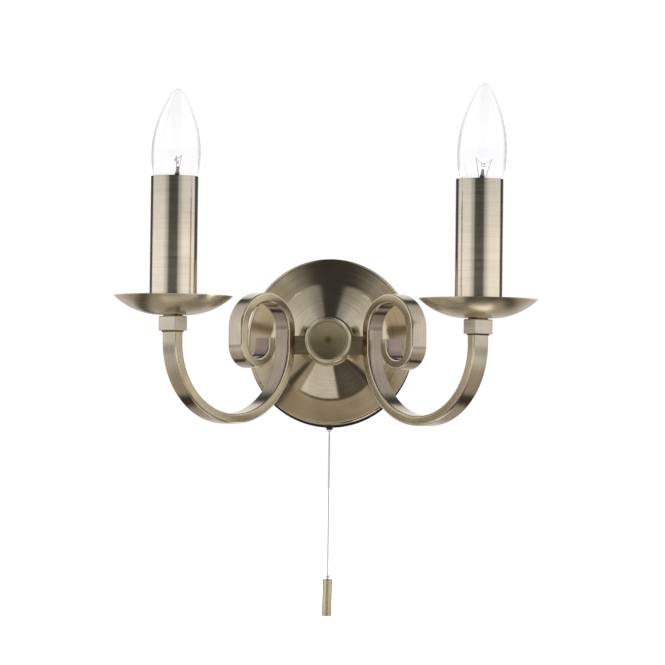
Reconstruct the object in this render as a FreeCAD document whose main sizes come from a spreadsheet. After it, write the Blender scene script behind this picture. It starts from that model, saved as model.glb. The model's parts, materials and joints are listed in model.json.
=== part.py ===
import FreeCAD, Part
import Sketcher
import math
import os

# Double-arm candle wall light: two scrolled brass arms on a spun wall canopy, with a pull-cord switch.
# Frame: origin in the middle of the wall face, +Z up, +X to the right, -Y out into the room.
# Lengths are millimetres and angles degrees. Depths are measured from the wall, heights from the hub axis.

SIZES = {
    # wall plate and its fixings
    "plate_thickness": 1.5,
    "plate_drop": 1.9,
    "slot_pitch": 70.0,
    "slot_width": 5.0,
    "slot_length": 12.0,
    "entry_radius": 8.0,
    "entry_height": 30.0,
    "grommet_wall": 1.6,
    "grommet_lip": 1.8,
    "grommet_core": 3.2,
    # spun canopy
    "canopy_radius": 61.0,
    "canopy_wall": 1.0,
    "skirt_depth": 9.6,
    "skirt_round": 2.2,
    "flare_radius": 42.0,
    "flare_depth": 16.8,
    "flare_blend": 10.0,
    "hub_flat_radius": 18.0,
    "hub_flat_round": 1.5,
    "canopy_depth": 34.4,
    # hub: hollow rod, crossbar and front cap
    "rod_radius": 5.0,
    "rod_bore": 3.5,
    "rod_start": 0.4,
    "rod_grip": 8.0,
    "rod_slot_width": 4.0,
    "rod_slot_length": 8.0,
    "rod_slot_depth": 16.0,
    "rod_nut_flats": 17.0,
    "rod_nut_thickness": 4.0,
    "crossbar_depth": 9.6,
    "crossbar_height": 13.4,
    "crossbar_drop": 3.4,
    "crossbar_wall": 1.8,
    "hub_boss_radius": 11.0,
    "cap_radius": 16.6,
    "cap_neck_radius": 9.0,
    "cap_neck_length": 3.6,
    "cap_length": 14.0,
    "cap_round": 2.0,
    "cap_bead": 1.6,
    "cap_dish_radius": 13.0,
    "cap_dish_edge": 0.8,
    "cap_dish_drop": 0.45,
    "cap_centre_drop": 1.35,
    "cap_face_curve": 100.0,
    "thread_clearance": 0.1,
    # scrolled arms, bent from rounded rectangular tube
    "bar_width": 15.0,
    "bar_thickness": 7.0,
    "bar_wall": 1.2,
    "bar_corner": 1.5,
    "arm_angle": 45.0,
    "column_x": 31.7,
    "column_depth": 41.7,
    "sweep_radius": 53.5,
    "sweep_height": -4.2,
    "scroll_radius": 22.6,
    "scroll_height": 7.4,
    "curl_radius": 13.0,
    "curl_height": -4.4,
    "curl_end": 1.1,
    "wire_hole_radius": 3.0,
    # collar under the drip pan
    "collar_base": 3.2,
    "collar_height": 10.1,
    "collar_margin": 1.2,
    "collar_corner": 1.6,
    "collar_neck_height": 1.4,
    "collar_neck_radius": 5.2,
    "socket_depth": 6.0,
    "socket_clearance": 0.1,
    # drip pan
    "pan_radius": 42.0,
    "pan_flat": 9.0,
    "pan_height": 13.4,
    "pan_curve_radius": 47.6,
    "pan_wall": 1.0,
    # stack on the pan: nipple, tube seat, nut and candle tube
    "nipple_radius": 4.0,
    "nipple_bore": 2.7,
    "nipple_grip": 5.6,
    "seat_foot_radius": 8.0,
    "seat_foot_height": 3.2,
    "seat_thickness": 2.0,
    "seat_clearance": 0.15,
    "lock_nut_flats": 13.0,
    "lock_nut_thickness": 4.0,
    "tube_radius": 16.8,
    "tube_wall": 1.0,
    "tube_length": 95.6,
    "tube_gap": 0.9,
    # lampholder
    "holder_radius": 12.5,
    "holder_floor": 10.0,
    "holder_cavity": 9.2,
    "holder_lip": 1.6,
    "holder_wire_bore": 2.6,
    "sleeve_wall": 0.6,
    "sleeve_length": 20.0,
    "sleeve_clearance": 0.2,
    "contact_radius": 2.6,
    "contact_height": 3.6,
    # candle lamp, placed by how far its widest ring stands above the tube
    "lamp_rise": 19.6,
    "lamp_depth": 24.1,
    "lamp_gap": 0.3,
    "lamp_clearance": 1.8,
    "lamp_cap_radius": 6.95,
    "lamp_cap_height": 18.6,
    "lamp_insulator_height": 3.4,
    "lamp_tip_radius": 2.2,
    "lamp_tip_height": 1.0,
    "lamp_neck_radius": 6.5,
    "lamp_neck_seat": 2.0,
    "lamp_radius": 17.5,
    "lamp_waist_height": 57.2,
    "lamp_length": 105.4,
    "lamp_shoulder_drop": 22.0,
    "lamp_tip_width": 1.4,
    "lamp_nib": 0.8,
    "lamp_wall": 0.8,
    "stem_radius": 3.6,
    "stem_top_radius": 1.3,
    "stem_length": 17.0,
    "stem_flare_height": 6.0,
    "stem_flare_curve": 8.5,
    "lead_wire_radius": 0.25,
    "lead_foot_reach": 1.0,
    "lead_top_reach": 5.2,
    "lead_height": 13.0,
    "filament_radius": 0.4,
    # wiring inside
    "strand_radius": 1.1,
    "strand_spacing": 2.5,
    "strand_start": -5.0,
    "strand_tail": 0.4,
    "hub_strand_start": 5.6,
    # terminal block and earth screw on the wall plate
    "block_x": 26.0,
    "block_height": 12.0,
    "block_width": 18.0,
    "block_depth": 11.0,
    "block_tall": 14.0,
    "block_poles": 2.0,
    "block_pole_pitch": 9.0,
    "block_bore_radius": 2.2,
    "screw_radius": 1.6,
    "screw_head_radius": 2.4,
    "screw_head_height": 1.6,
    "screw_seat": 4.0,
    "earth_x": -24.0,
    "earth_height": 14.0,
    "earth_head_radius": 4.0,
    "earth_head_height": 2.6,
    "earth_washer_radius": 5.0,
    "earth_washer_thickness": 1.0,
    "slot_cut_width": 0.8,
    "slot_cut_depth": 0.7,
    # pull switch behind the canopy
    "switch_width": 22.0,
    "switch_tall": 18.0,
    "switch_top": -36.0,
    "switch_depth": 7.4,
    "switch_wall": 1.2,
    "switch_gap": 0.1,
    "lid_thickness": 1.2,
    "nozzle_depth": 5.8,
    "nozzle_radius": 3.0,
    "nozzle_bore": 1.5,
    "nozzle_tip_radius": 2.0,
    "nozzle_tip_height": 2.0,
    "nozzle_tip_end": -64.4,
    "nozzle_clearance": 0.3,
    "nozzle_nut_flats": 8.0,
    "nozzle_nut_thickness": 2.2,
    "guide_length": 2.0,
    "guide_top_radius": 1.8,
    "guide_mouth_radius": 1.1,
    "guide_bore": 0.75,
    "guide_stem_length": 3.0,
    "link_radius": 0.6,
    "link_top": -41.0,
    "link_head_radius": 1.8,
    "link_head_height": 1.4,
    "link_hole_radius": 1.2,
    "spring_wire": 0.36,
    "spring_radius": 1.15,
    "spring_coils": 5.0,
    "lever_pivot_x": -6.0,
    "lever_pivot_height": -44.0,
    "lever_reach": 10.0,
    "lever_hub_radius": 2.0,
    "lever_thickness": 0.8,
    "lever_gap": 0.1,
    "pin_radius": 1.0,
    "pin_clearance": 0.05,
    # pull cord
    "cord_radius": 0.6,
    "cord_gap": 0.45,
    "cord_end": -170.8,
    "knot_radius": 1.4,
    "toggle_gap": 0.3,
    "toggle_radius": 3.0,
    "toggle_length": 27.0,
    "toggle_chamfer": 0.4,
    "toggle_bore": 0.8,
}


class Size:
    """A number together with the sheet formula that gives it."""

    def __init__(self, value, formula):
        self.value = value
        self.formula = formula

    def __add__(self, other):
        other = as_size(other)
        return Size(self.value + other.value, f"({self.formula} + {other.formula})")

    def __sub__(self, other):
        other = as_size(other)
        return Size(self.value - other.value, f"({self.formula} - {other.formula})")

    def __mul__(self, other):
        other = as_size(other)
        return Size(self.value * other.value, f"({self.formula} * {other.formula})")

    def __truediv__(self, other):
        other = as_size(other)
        return Size(self.value / other.value, f"({self.formula} / {other.formula})")

    def __neg__(self):
        return Size(-self.value, f"(0 - {self.formula})")


def as_size(number):
    """Let plain numbers stand beside sheet sizes."""
    if isinstance(number, Size):
        return number
    return Size(float(number), str(float(number)))


def size(alias):
    """One size from the sheet."""
    return Size(SIZES[alias], f"Sizes.{alias}")


def root(square):
    return Size(math.sqrt(square.value), f"sqrt({square.formula})")


def cosine(angle):
    return Size(math.cos(math.radians(angle.value)), f"cos({angle.formula})")


def sine(angle):
    return Size(math.sin(math.radians(angle.value)), f"sin({angle.formula})")


def arctangent(slope):
    return Size(math.degrees(math.atan(slope.value)), f"atan({slope.formula})")


ZERO = Size(0.0, "0")
X_AXIS = FreeCAD.Vector(1, 0, 0)
Y_AXIS = FreeCAD.Vector(0, 1, 0)
Z_AXIS = FreeCAD.Vector(0, 0, 1)
QUARTER_TURN = 90.0
# A cut goes this many times as deep as what it passes through.
THROUGH = 2
# Two measures of the model count as the same within this many millimetres.
SAME = 0.01
# The lamp glass is turned in this many straight bands below and above its widest ring.
LOW_BANDS = 3
HIGH_BANDS = 6
SIDES = (("left", -1.0), ("right", 1.0))

doc = FreeCAD.newDocument("wall_sconce")
sheet = doc.addObject("Spreadsheet::Sheet", "Sizes")
for row, (alias, value) in enumerate(SIZES.items(), start=1):
    sheet.set(f"A{row}", alias.replace("_", " "))
    sheet.set(f"B{row}", str(value))
    sheet.setAlias(f"B{row}", alias)
doc.recompute()

parts = []


# ---------------------------------------------------------------- binding and placing

def bind(thing, prop, amount):
    """Tie one property of an object to the sheet."""
    amount = as_size(amount)
    thing.setExpression(prop, amount.formula)


def place(thing, x=ZERO, y=ZERO, z=ZERO, axis=None, angle=None):
    """Put an object at x, y, z, turned about one axis."""
    if axis is not None:
        angle = as_size(angle)
        thing.Placement = FreeCAD.Placement(FreeCAD.Vector(), FreeCAD.Rotation(axis, angle.value))
        bind(thing, "Placement.Rotation.Angle", angle)
    for name, amount in (("x", x), ("y", y), ("z", z)):
        bind(thing, f"Placement.Base.{name}", amount)
    return thing


def keep(thing, label):
    """Count an object as one finished piece of the lamp."""
    thing.Label = label
    parts.append(thing)
    return thing


# ---------------------------------------------------------------- sketching

def line(x, y):
    return ("line", as_size(x), as_size(y), None, None)


def arc(x, y, radius, turn):
    """An arc of under half a turn; turn is 1 for anticlockwise and -1 for clockwise."""
    return ("arc", as_size(x), as_size(y), as_size(radius), turn)


def half(x, y, turn):
    """A half circle to the point."""
    return ("half", as_size(x), as_size(y), None, turn)


def arc_centre(start, end, radius, turn):
    """The centre of an arc of under half a turn from start to end."""
    middle = (start + end) * 0.5
    chord = end - start
    rise = math.sqrt(max(radius ** 2 - (chord.Length / 2) ** 2, 0.0))
    side = FreeCAD.Vector(-chord.y, chord.x, 0).normalize()
    return middle + side * rise * turn


def fix(sketch, geometry, point, x=None, y=None):
    """Hold one point of a sketch at the given distances from its origin."""
    for kind, amount in (("DistanceX", x), ("DistanceY", y)):
        if amount is not None:
            index = sketch.addConstraint(Sketcher.Constraint(kind, -1, 1, geometry, point, amount.value))
            bind(sketch, f"Constraints[{index}]", amount)


def trace(sketch, start, steps):
    """Draw a path of lines and arcs whose corners are held by the sheet's sizes."""
    start = (as_size(start[0]), as_size(start[1]))
    closed = (steps[-1][1].value, steps[-1][2].value) == (start[0].value, start[1].value)
    first = sketch.GeometryCount
    ends = []
    here = start
    for kind, x, y, radius, turn in steps:
        begin = FreeCAD.Vector(here[0].value, here[1].value, 0)
        end = FreeCAD.Vector(x.value, y.value, 0)
        if kind == "line":
            index = sketch.addGeometry(Part.LineSegment(begin, end), False)
            ends.append((index, 1, 2))
        else:
            reach = radius.value if kind == "arc" else (end - begin).Length / 2
            centre = arc_centre(begin, end, reach, turn)
            low, high = (begin, end) if turn > 0 else (end, begin)
            low_angle = math.atan2(low.y - centre.y, low.x - centre.x)
            high_angle = math.atan2(high.y - centre.y, high.x - centre.x)
            if high_angle < low_angle:
                high_angle += 2 * math.pi
            circle = Part.Circle(centre, Z_AXIS, reach)
            index = sketch.addGeometry(Part.ArcOfCircle(circle, low_angle, high_angle), False)
            ends.append((index, 1, 2) if turn > 0 else (index, 2, 1))
        fix(sketch, index, ends[-1][1], here[0], here[1])
        if kind == "arc":
            number = sketch.addConstraint(Sketcher.Constraint("Radius", index, radius.value))
            bind(sketch, f"Constraints[{number}]", radius)
        if kind == "half" and abs(end.x - begin.x) >= abs(end.y - begin.y):
            fix(sketch, index, 3, y=here[1])
        elif kind == "half":
            fix(sketch, index, 3, x=here[0])
        here = (x, y)
    for this, following in zip(ends, ends[1:]):
        sketch.addConstraint(Sketcher.Constraint("Coincident", this[0], this[2], following[0], following[1]))
    if closed:
        sketch.addConstraint(Sketcher.Constraint("Coincident", ends[-1][0], ends[-1][2], first, ends[0][1]))
    else:
        fix(sketch, ends[-1][0], ends[-1][2], here[0], here[1])


def circle(sketch, radius, x=ZERO, y=ZERO):
    """A full circle held by its centre and radius."""
    centre = FreeCAD.Vector(x.value, y.value, 0)
    index = sketch.addGeometry(Part.Circle(centre, Z_AXIS, radius.value), False)
    fix(sketch, index, 3, x, y)
    number = sketch.addConstraint(Sketcher.Constraint("Radius", index, radius.value))
    bind(sketch, f"Constraints[{number}]", radius)


def rounded_rectangle(sketch, width, height, corner):
    """A rectangle about the sketch's origin with four round corners."""
    right = width / 2
    top = height / 2
    trace(sketch, (right, -(top - corner)), [
        line(right, top - corner),
        arc(right - corner, top, corner, 1),
        line(-(right - corner), top),
        arc(-right, top - corner, corner, 1),
        line(-right, -(top - corner)),
        arc(-(right - corner), -top, corner, 1),
        line(right - corner, -top),
        arc(right, -(top - corner), corner, 1),
    ])


def slot(sketch, x, y, length, width):
    """A slot along the sketch's first axis, centred at x, y."""
    reach = (length - width) / 2
    trace(sketch, (x - reach, y - width / 2), [
        line(x + reach, y - width / 2),
        half(x + reach, y + width / 2, 1),
        line(x - reach, y + width / 2),
        half(x - reach, y - width / 2, 1),
    ])


def add_body(label):
    return doc.addObject("PartDesign::Body", label)


def add_sketch(body, name, role, offset=None):
    """A sketch on one of the body's own origin planes, lifted off it by offset."""
    sketch = body.newObject("Sketcher::SketchObject", name)
    plane = [item for item in body.Origin.OriginFeatures if item.Role == role][0]
    sketch.AttachmentSupport = (plane, [""])
    sketch.MapMode = "FlatFace"
    if offset is not None:
        bind(sketch, "AttachmentOffset.Base.z", offset)
    return sketch


def add_pad(body, name, sketch, length):
    pad = body.newObject("PartDesign::Pad", name)
    pad.Profile = sketch
    bind(pad, "Length", length)
    body.Tip = pad
    return pad


def add_pocket(body, name, sketch, length, reversed_cut=False, midplane=False):
    """A pocket, refused if it takes nothing away."""
    doc.recompute()
    before = body.Shape.Volume
    pocket = body.newObject("PartDesign::Pocket", name)
    pocket.Profile = sketch
    bind(pocket, "Length", length)
    pocket.Reversed = reversed_cut
    pocket.Midplane = midplane
    body.Tip = pocket
    doc.recompute()
    if body.Shape.Volume > before - SAME:
        raise RuntimeError(f"{name} cuts nothing")
    return pocket


def add_turn(body, name, sketch):
    """A full revolution about the sketch's upright axis."""
    turn = body.newObject("PartDesign::Revolution", name)
    turn.Profile = sketch
    turn.ReferenceAxis = (sketch, ["V_Axis"])
    turn.Angle = 360.0
    body.Tip = turn
    return turn


def turned(label, start, steps):
    """A lathe-turned body: its closed outline is radius against height."""
    body = add_body(label)
    sketch = add_sketch(body, label + "_outline", "XZ_Plane")
    trace(sketch, start, steps)
    add_turn(body, label + "_turned", sketch)
    return body


def ring_edges(shape, radius, height):
    """Names of the full round edges with this radius at this height."""
    found = []
    for number, edge in enumerate(shape.Edges, start=1):
        if not isinstance(edge.Curve, Part.Circle):
            continue
        if abs(edge.Curve.Radius - radius.value) < SAME and abs(edge.Curve.Center.z - height.value) < SAME:
            found.append(f"Edge{number}")
    return found


def flat_face(shape, height):
    """Name of the largest flat face at this height."""
    flats = []
    for number, face in enumerate(shape.Faces, start=1):
        if isinstance(face.Surface, Part.Plane) and abs(face.CenterOfMass.z - height.value) < SAME:
            flats.append((face.Area, f"Face{number}"))
    return max(flats)[1]


def add_blend(body, name, edges, radius):
    base = body.Tip
    blend = body.newObject("PartDesign::Fillet", name)
    blend.Base = (base, edges)
    bind(blend, "Radius", radius)
    body.Tip = blend
    doc.recompute()
    return blend


def add_shell(body, name, face, wall):
    """Hollow the body inwards from one open face."""
    base = body.Tip
    shell = body.newObject("PartDesign::Thickness", name)
    shell.Base = (base, [face])
    bind(shell, "Value", wall)
    shell.Reversed = True
    body.Tip = shell
    doc.recompute()
    return shell


# ---------------------------------------------------------------- plain solids

def cylinder(label, radius, height, x=ZERO, y=ZERO, z=ZERO, axis=None, angle=None):
    solid = doc.addObject("Part::Cylinder", label)
    bind(solid, "Radius", radius)
    bind(solid, "Height", height)
    return place(solid, x, y, z, axis, angle)


def box(label, low, spans):
    """A box from its low corner and its three spans."""
    solid = doc.addObject("Part::Box", label)
    for prop, amount in zip(("Length", "Width", "Height"), spans):
        bind(solid, prop, amount)
    return place(solid, *low)


def cut(label, base, *tools):
    """Take every tool away from the base."""
    for number, tool in enumerate(tools, start=1):
        result = doc.addObject("Part::Cut", f"{label}_cut_{number}")
        result.Base = base
        result.Tool = tool
        base = result
    return base


def group(label, pieces):
    """Identical or paired pieces that share one name but stay separate solids."""
    compound = doc.addObject("Part::Compound", label)
    compound.Links = pieces
    return compound


def hex_nut(label, flats, bore, thickness, axis=None, angle=None, x=ZERO, y=ZERO, z=ZERO):
    """A hexagon nut with its corners along X, seated at x, y, z."""
    prism = doc.addObject("Part::Prism", label + "_hexagon")
    prism.Polygon = 6
    bind(prism, "Circumradius", flats / root(as_size(3)))
    bind(prism, "Height", thickness)
    hole = cylinder(label + "_bore", bore, thickness)
    nut = cut(label, prism, hole)
    return place(nut, x, y, z, axis, angle)


# ================================================================ wall side

plate_front = size("plate_thickness")
rod_hole = size("rod_radius") + size("thread_clearance")


def make_wall_plate():
    """Pressed steel disc: two keyhole-free slots for the wall screws, a cable entry and the rod's thread."""
    body = add_body("wall_plate")
    outline = add_sketch(body, "plate_outline", "XY_Plane")
    circle(outline, size("canopy_radius"), y=-size("plate_drop"))
    circle(outline, rod_hole)
    circle(outline, size("entry_radius"), y=size("entry_height"))
    for side in (-1, 1):
        slot(outline, size("slot_pitch") / 2 * side, ZERO, size("slot_length"), size("slot_width"))
    add_pad(body, "plate_pad", outline, plate_front)
    return keep(place(body, axis=X_AXIS, angle=QUARTER_TURN), "wall_plate")


def make_cable_grommet():
    """Rubber ring in the plate's cable entry, held by its groove, with a thin skirt round the cable hole."""
    outer = size("entry_radius") - size("thread_clearance")
    lip = size("entry_radius") + size("grommet_lip")
    inner = size("grommet_core")
    front = plate_front + size("grommet_wall") + size("thread_clearance")
    groove_front = plate_front + size("thread_clearance")
    body = turned("cable_grommet", (inner, ZERO), [
        line(outer, ZERO),
        line(outer, groove_front),
        line(lip, groove_front),
        line(lip, front),
        line(inner, front),
        line(inner, ZERO),
    ])
    return keep(place(body, z=size("entry_height"), axis=X_AXIS, angle=QUARTER_TURN), "cable_grommet")


def make_terminal_block():
    """Two-pole screw terminal: a nylon body with a wire bore and two screw shafts through each pole."""
    width = size("block_width")
    depth = size("block_depth")
    tall = size("block_tall")
    left = size("block_x") - width / 2
    low = size("block_height") - tall / 2
    front = plate_front + depth
    body = box("terminal_body", (left, -front, low), (width, depth, tall))
    tools = []
    screws = []
    shaft = size("screw_radius") + size("thread_clearance")
    head = size("screw_head_radius") + size("thread_clearance")
    for pole in range(int(SIZES["block_poles"])):
        across = size("block_x") + size("block_pole_pitch") * (pole - 0.5)
        middle = plate_front + depth / 2
        tools.append(cylinder(f"wire_bore_{pole}", size("block_bore_radius"), tall, across, -middle, low))
        for row, share in (("low", 0.25), ("high", 0.75)):
            height = low + tall * share
            name = f"{row}_{pole}"
            seat = plate_front + depth - size("screw_seat")
            tools.append(cylinder(f"screw_shaft_{name}", shaft, depth / 2, across, -middle, height,
                                  X_AXIS, QUARTER_TURN))
            tools.append(cylinder(f"screw_well_{name}", head, size("screw_seat"), across, -seat, height,
                                  X_AXIS, QUARTER_TURN))
            screws.append(make_slotted_screw(f"terminal_screw_{name}", across, seat, height,
                                             size("screw_radius"), seat - middle,
                                             size("screw_head_radius"), size("screw_head_height")))
    keep(cut("terminal_block", body, *tools), "terminal_block")
    keep(group("terminal_screws", screws), "terminal_screws")


def make_slotted_screw(name, x, depth, height, radius, length, head_radius, head_height):
    """A screw driven from the room side: its head's underside lies at the given depth from the wall."""
    shank = cylinder(name + "_shank", radius, length, z=-length)
    head = cylinder(name + "_head", head_radius, head_height)
    whole = doc.addObject("Part::Fuse", name + "_whole")
    whole.Base = shank
    whole.Tool = head
    groove = box(name + "_groove",
                 (-head_radius, -size("slot_cut_width") / 2, head_height - size("slot_cut_depth")),
                 (head_radius * 2, size("slot_cut_width"), size("slot_cut_depth")))
    return place(cut(name, whole, groove), x, -depth, height, X_AXIS, QUARTER_TURN)


def make_earth_screw():
    """Earth screw with its washer, driven into the wall plate."""
    x = size("earth_x")
    height = size("earth_height")
    washer = cylinder("earth_washer", size("earth_washer_radius"), size("earth_washer_thickness"),
                      x, -plate_front, height, X_AXIS, QUARTER_TURN)
    seat = plate_front + size("earth_washer_thickness")
    screw = make_slotted_screw("earth_screw", x, seat, height, size("screw_radius"),
                               size("earth_washer_thickness") / 2,
                               size("earth_head_radius"), size("earth_head_height"))
    joined = doc.addObject("Part::Fuse", "earth_screw_and_washer")
    joined.Base = screw
    joined.Tool = washer
    return keep(joined, "earth_screw")


def make_canopy():
    """Spun brass canopy: a straight skirt, a flat flare and a steeper cone up to the hub, one wall thick."""
    rim = size("canopy_radius")
    back = plate_front
    shoulder = size("skirt_depth") + size("skirt_round")
    body = turned("canopy", (ZERO, back), [
        line(rim, back),
        line(rim, size("skirt_depth")),
        arc(rim - size("skirt_round"), shoulder, size("skirt_round"), 1),
        line(size("flare_radius"), size("flare_depth")),
        line(size("hub_flat_radius"), size("canopy_depth")),
        line(ZERO, size("canopy_depth")),
        line(ZERO, back),
    ])
    doc.recompute()
    flare = ring_edges(body.Shape, size("flare_radius"), size("flare_depth"))
    add_blend(body, "flare_blend", flare, size("flare_blend"))
    hub = ring_edges(body.Shape, size("hub_flat_radius"), size("canopy_depth"))
    add_blend(body, "hub_blend", hub, size("hub_flat_round"))
    add_shell(body, "canopy_shell", flat_face(body.Shape, back), size("canopy_wall"))
    rod = add_sketch(body, "rod_hole", "XY_Plane", size("canopy_depth"))
    circle(rod, rod_hole)
    add_pocket(body, "rod_pocket", rod, size("canopy_wall") * THROUGH)
    nozzle_hole = size("nozzle_radius") + size("nozzle_clearance")
    nozzle = add_sketch(body, "nozzle_hole", "XZ_Plane", size("canopy_radius"))
    circle(nozzle, nozzle_hole, ZERO, size("nozzle_depth"))
    add_pocket(body, "nozzle_pocket", nozzle, nozzle_hole * THROUGH)
    return keep(place(body, axis=X_AXIS, angle=QUARTER_TURN), "canopy")


# ================================================================ hub

crossbar_back = size("canopy_depth")
crossbar_front = crossbar_back + size("crossbar_depth")
cap_front = crossbar_front + size("cap_length")


def make_rod():
    """Hollow threaded rod from the wall plate to the cap, slotted where the wires leave it."""
    end = crossbar_front + size("rod_grip")
    body = turned("threaded_rod", (size("rod_bore"), size("rod_start")), [
        line(size("rod_radius"), size("rod_start")),
        line(size("rod_radius"), end),
        line(size("rod_bore"), end),
        line(size("rod_bore"), size("rod_start")),
    ])
    slots = add_sketch(body, "wire_slot", "XZ_Plane")
    centre = crossbar_back + size("crossbar_depth") / 2
    wide = size("rod_slot_width") / 2
    reach = size("rod_slot_length") / 2
    for middle in (size("rod_slot_depth"), centre):
        trace(slots, (-wide, middle - reach + wide), [
            half(wide, middle - reach + wide, 1),
            line(wide, middle + reach - wide),
            half(-wide, middle + reach - wide, 1),
            line(-wide, middle - reach + wide),
        ])
    add_pocket(body, "slot_cut", slots, size("rod_radius") * 2 * THROUGH, midplane=True)
    return keep(place(body, axis=X_AXIS, angle=QUARTER_TURN), "threaded_rod")


def make_crossbar():
    """Cast hub: a round boss on the rod with a hollow bar to each arm, its ends mitred to the arms' angle."""
    depth = size("crossbar_depth")
    height = size("crossbar_height")
    face_x = size("column_x") - size("bar_thickness") / 2 * cosine(size("arm_angle"))
    face_depth = size("column_depth") - size("bar_thickness") / 2 * sine(size("arm_angle"))
    slope = cosine(size("arm_angle")) / sine(size("arm_angle"))
    front_x = face_x - (crossbar_front - face_depth) * slope
    back_x = face_x + (face_depth - crossbar_back) * slope
    drop = size("crossbar_drop")
    body = add_body("crossbar")
    plan = add_sketch(body, "crossbar_plan", "XY_Plane", -(drop + height / 2))
    trace(plan, (-front_x, -crossbar_front), [
        line(front_x, -crossbar_front),
        line(back_x, -crossbar_back),
        line(-back_x, -crossbar_back),
        line(-front_x, -crossbar_front),
    ])
    add_pad(body, "bar_pad", plan, height)
    boss = add_sketch(body, "boss_circle", "XZ_Plane", crossbar_back)
    circle(boss, size("hub_boss_radius"))
    add_pad(body, "boss_pad", boss, depth)
    channel = add_sketch(body, "wire_channel", "YZ_Plane")
    wall = size("crossbar_wall")
    low = -(drop + height / 2 - wall)
    high = height / 2 - drop - wall
    trace(channel, (-(crossbar_front - wall), low), [
        line(-(crossbar_back + wall), low),
        line(-(crossbar_back + wall), high),
        line(-(crossbar_front - wall), high),
        line(-(crossbar_front - wall), low),
    ])
    add_pocket(body, "channel_cut", channel, back_x * 2 * THROUGH, midplane=True)
    rod = add_sketch(body, "rod_bore", "XZ_Plane", crossbar_front)
    circle(rod, rod_hole)
    add_pocket(body, "rod_cut", rod, depth)
    return keep(body, "crossbar")


def make_cap():
    """Turned cap screwed on the rod's end: a short neck, a thick disc and a dished face inside a bead."""
    base = crossbar_front
    disc = base + size("cap_neck_length")
    rim = size("cap_radius")
    edge = size("cap_round")
    bore_end = base + size("rod_grip") + size("thread_clearance")
    dish = size("cap_dish_radius")
    body = turned("front_cap", (rod_hole, base), [
        line(size("cap_neck_radius"), base),
        line(size("cap_neck_radius"), disc),
        line(rim - edge, disc),
        arc(rim, disc + edge, edge, 1),
        line(rim, cap_front - edge),
        arc(rim - edge, cap_front, edge, 1),
        line(dish + size("cap_dish_edge"), cap_front),
        arc(dish, cap_front - size("cap_dish_drop"), size("cap_bead"), 1),
        arc(ZERO, cap_front - size("cap_centre_drop"), size("cap_face_curve"), -1),
        line(ZERO, bore_end),
        line(rod_hole, bore_end),
        line(rod_hole, base),
    ])
    return keep(place(body, axis=X_AXIS, angle=QUARTER_TURN), "front_cap")


def make_rod_nut():
    """Nut that locks the rod in the wall plate."""
    nut = hex_nut("rod_nut", size("rod_nut_flats"), rod_hole, size("rod_nut_thickness"),
                  X_AXIS, QUARTER_TURN, y=-plate_front)
    return keep(nut, "rod_nut")


def make_hub_strands():
    """Insulated strands lying in the hollow crossbar, two to each arm."""
    strands = []
    middle = crossbar_back + size("crossbar_depth") / 2
    end = size("column_x") - size("bar_thickness")
    for name, side in SIDES:
        for row in (-1, 1):
            height = size("strand_spacing") / 2 * row - size("crossbar_drop")
            strands.append(cylinder(f"hub_strand_{name}", size("strand_radius"),
                                    end - size("hub_strand_start"),
                                    size("hub_strand_start") * side, -middle, height,
                                    Y_AXIS, QUARTER_TURN * side))
    return keep(group("hub_wires", strands), "hub_wires")


# ================================================================ arms

sweep_end = size("sweep_radius") * 2
scroll_side = size("scroll_radius") * 2
curl_side = scroll_side - size("curl_radius") * 2
bar_end = size("collar_base") + size("socket_depth")
candle_x = size("column_x") + sweep_end * cosine(size("arm_angle"))
candle_depth = size("column_depth") + sweep_end * sine(size("arm_angle"))


def add_pipe(body, kind, name, profile, spine):
    pipe = body.newObject(f"PartDesign::{kind}Pipe", name)
    pipe.Profile = profile
    pipe.Spine = (spine, [f"Edge{number}" for number in range(1, spine.GeometryCount + 1)])
    body.Tip = pipe
    doc.recompute()
    return pipe


def turn_into_arm_plane(thing, side, x, depth):
    """Stand a body, drawn along +X, in the arm's upright plane."""
    if side > 0:
        angle = -size("arm_angle")
    else:
        angle = size("arm_angle") - 180
    return place(thing, x * side, -depth, ZERO, Z_AXIS, angle)


def make_arm(name, side):
    """One tube bent from the collar down the sweep, up the column, over the scroll and into the curl."""
    body = add_body("arm_" + name)
    spine = add_sketch(body, "arm_line", "XZ_Plane")
    trace(spine, (sweep_end, bar_end), [
        line(sweep_end, size("sweep_height")),
        half(ZERO, size("sweep_height"), -1),
        line(ZERO, size("scroll_height")),
        half(scroll_side, size("scroll_height"), -1),
        line(scroll_side, size("curl_height")),
        half(curl_side, size("curl_height"), -1),
        line(curl_side, size("curl_end")),
    ])
    profile = add_sketch(body, "arm_section", "XY_Plane", bar_end)
    bind(profile, "AttachmentOffset.Base.x", sweep_end)
    rounded_rectangle(profile, size("bar_thickness"), size("bar_width"), size("bar_corner"))
    add_pipe(body, "Additive", "arm_bar", profile, spine)
    way = add_sketch(body, "wire_line", "XZ_Plane")
    trace(way, (sweep_end, bar_end), [
        line(sweep_end, size("sweep_height")),
        half(ZERO, size("sweep_height"), -1),
        line(ZERO, size("scroll_height")),
    ])
    hollow = add_sketch(body, "wire_section", "XY_Plane", bar_end)
    bind(hollow, "AttachmentOffset.Base.x", sweep_end)
    wall = size("bar_wall") * 2
    rounded_rectangle(hollow, size("bar_thickness") - wall, size("bar_width") - wall,
                      size("bar_corner") - size("bar_wall") / 2)
    add_pipe(body, "Subtractive", "arm_hollow", hollow, way)
    entry = add_sketch(body, "wire_entry", "YZ_Plane")
    circle(entry, size("wire_hole_radius"), ZERO, -size("crossbar_drop"))
    add_pocket(body, "entry_cut", entry, size("bar_thickness"))
    return keep(turn_into_arm_plane(body, side, size("column_x"), size("column_depth")), "arm_" + name)


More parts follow.
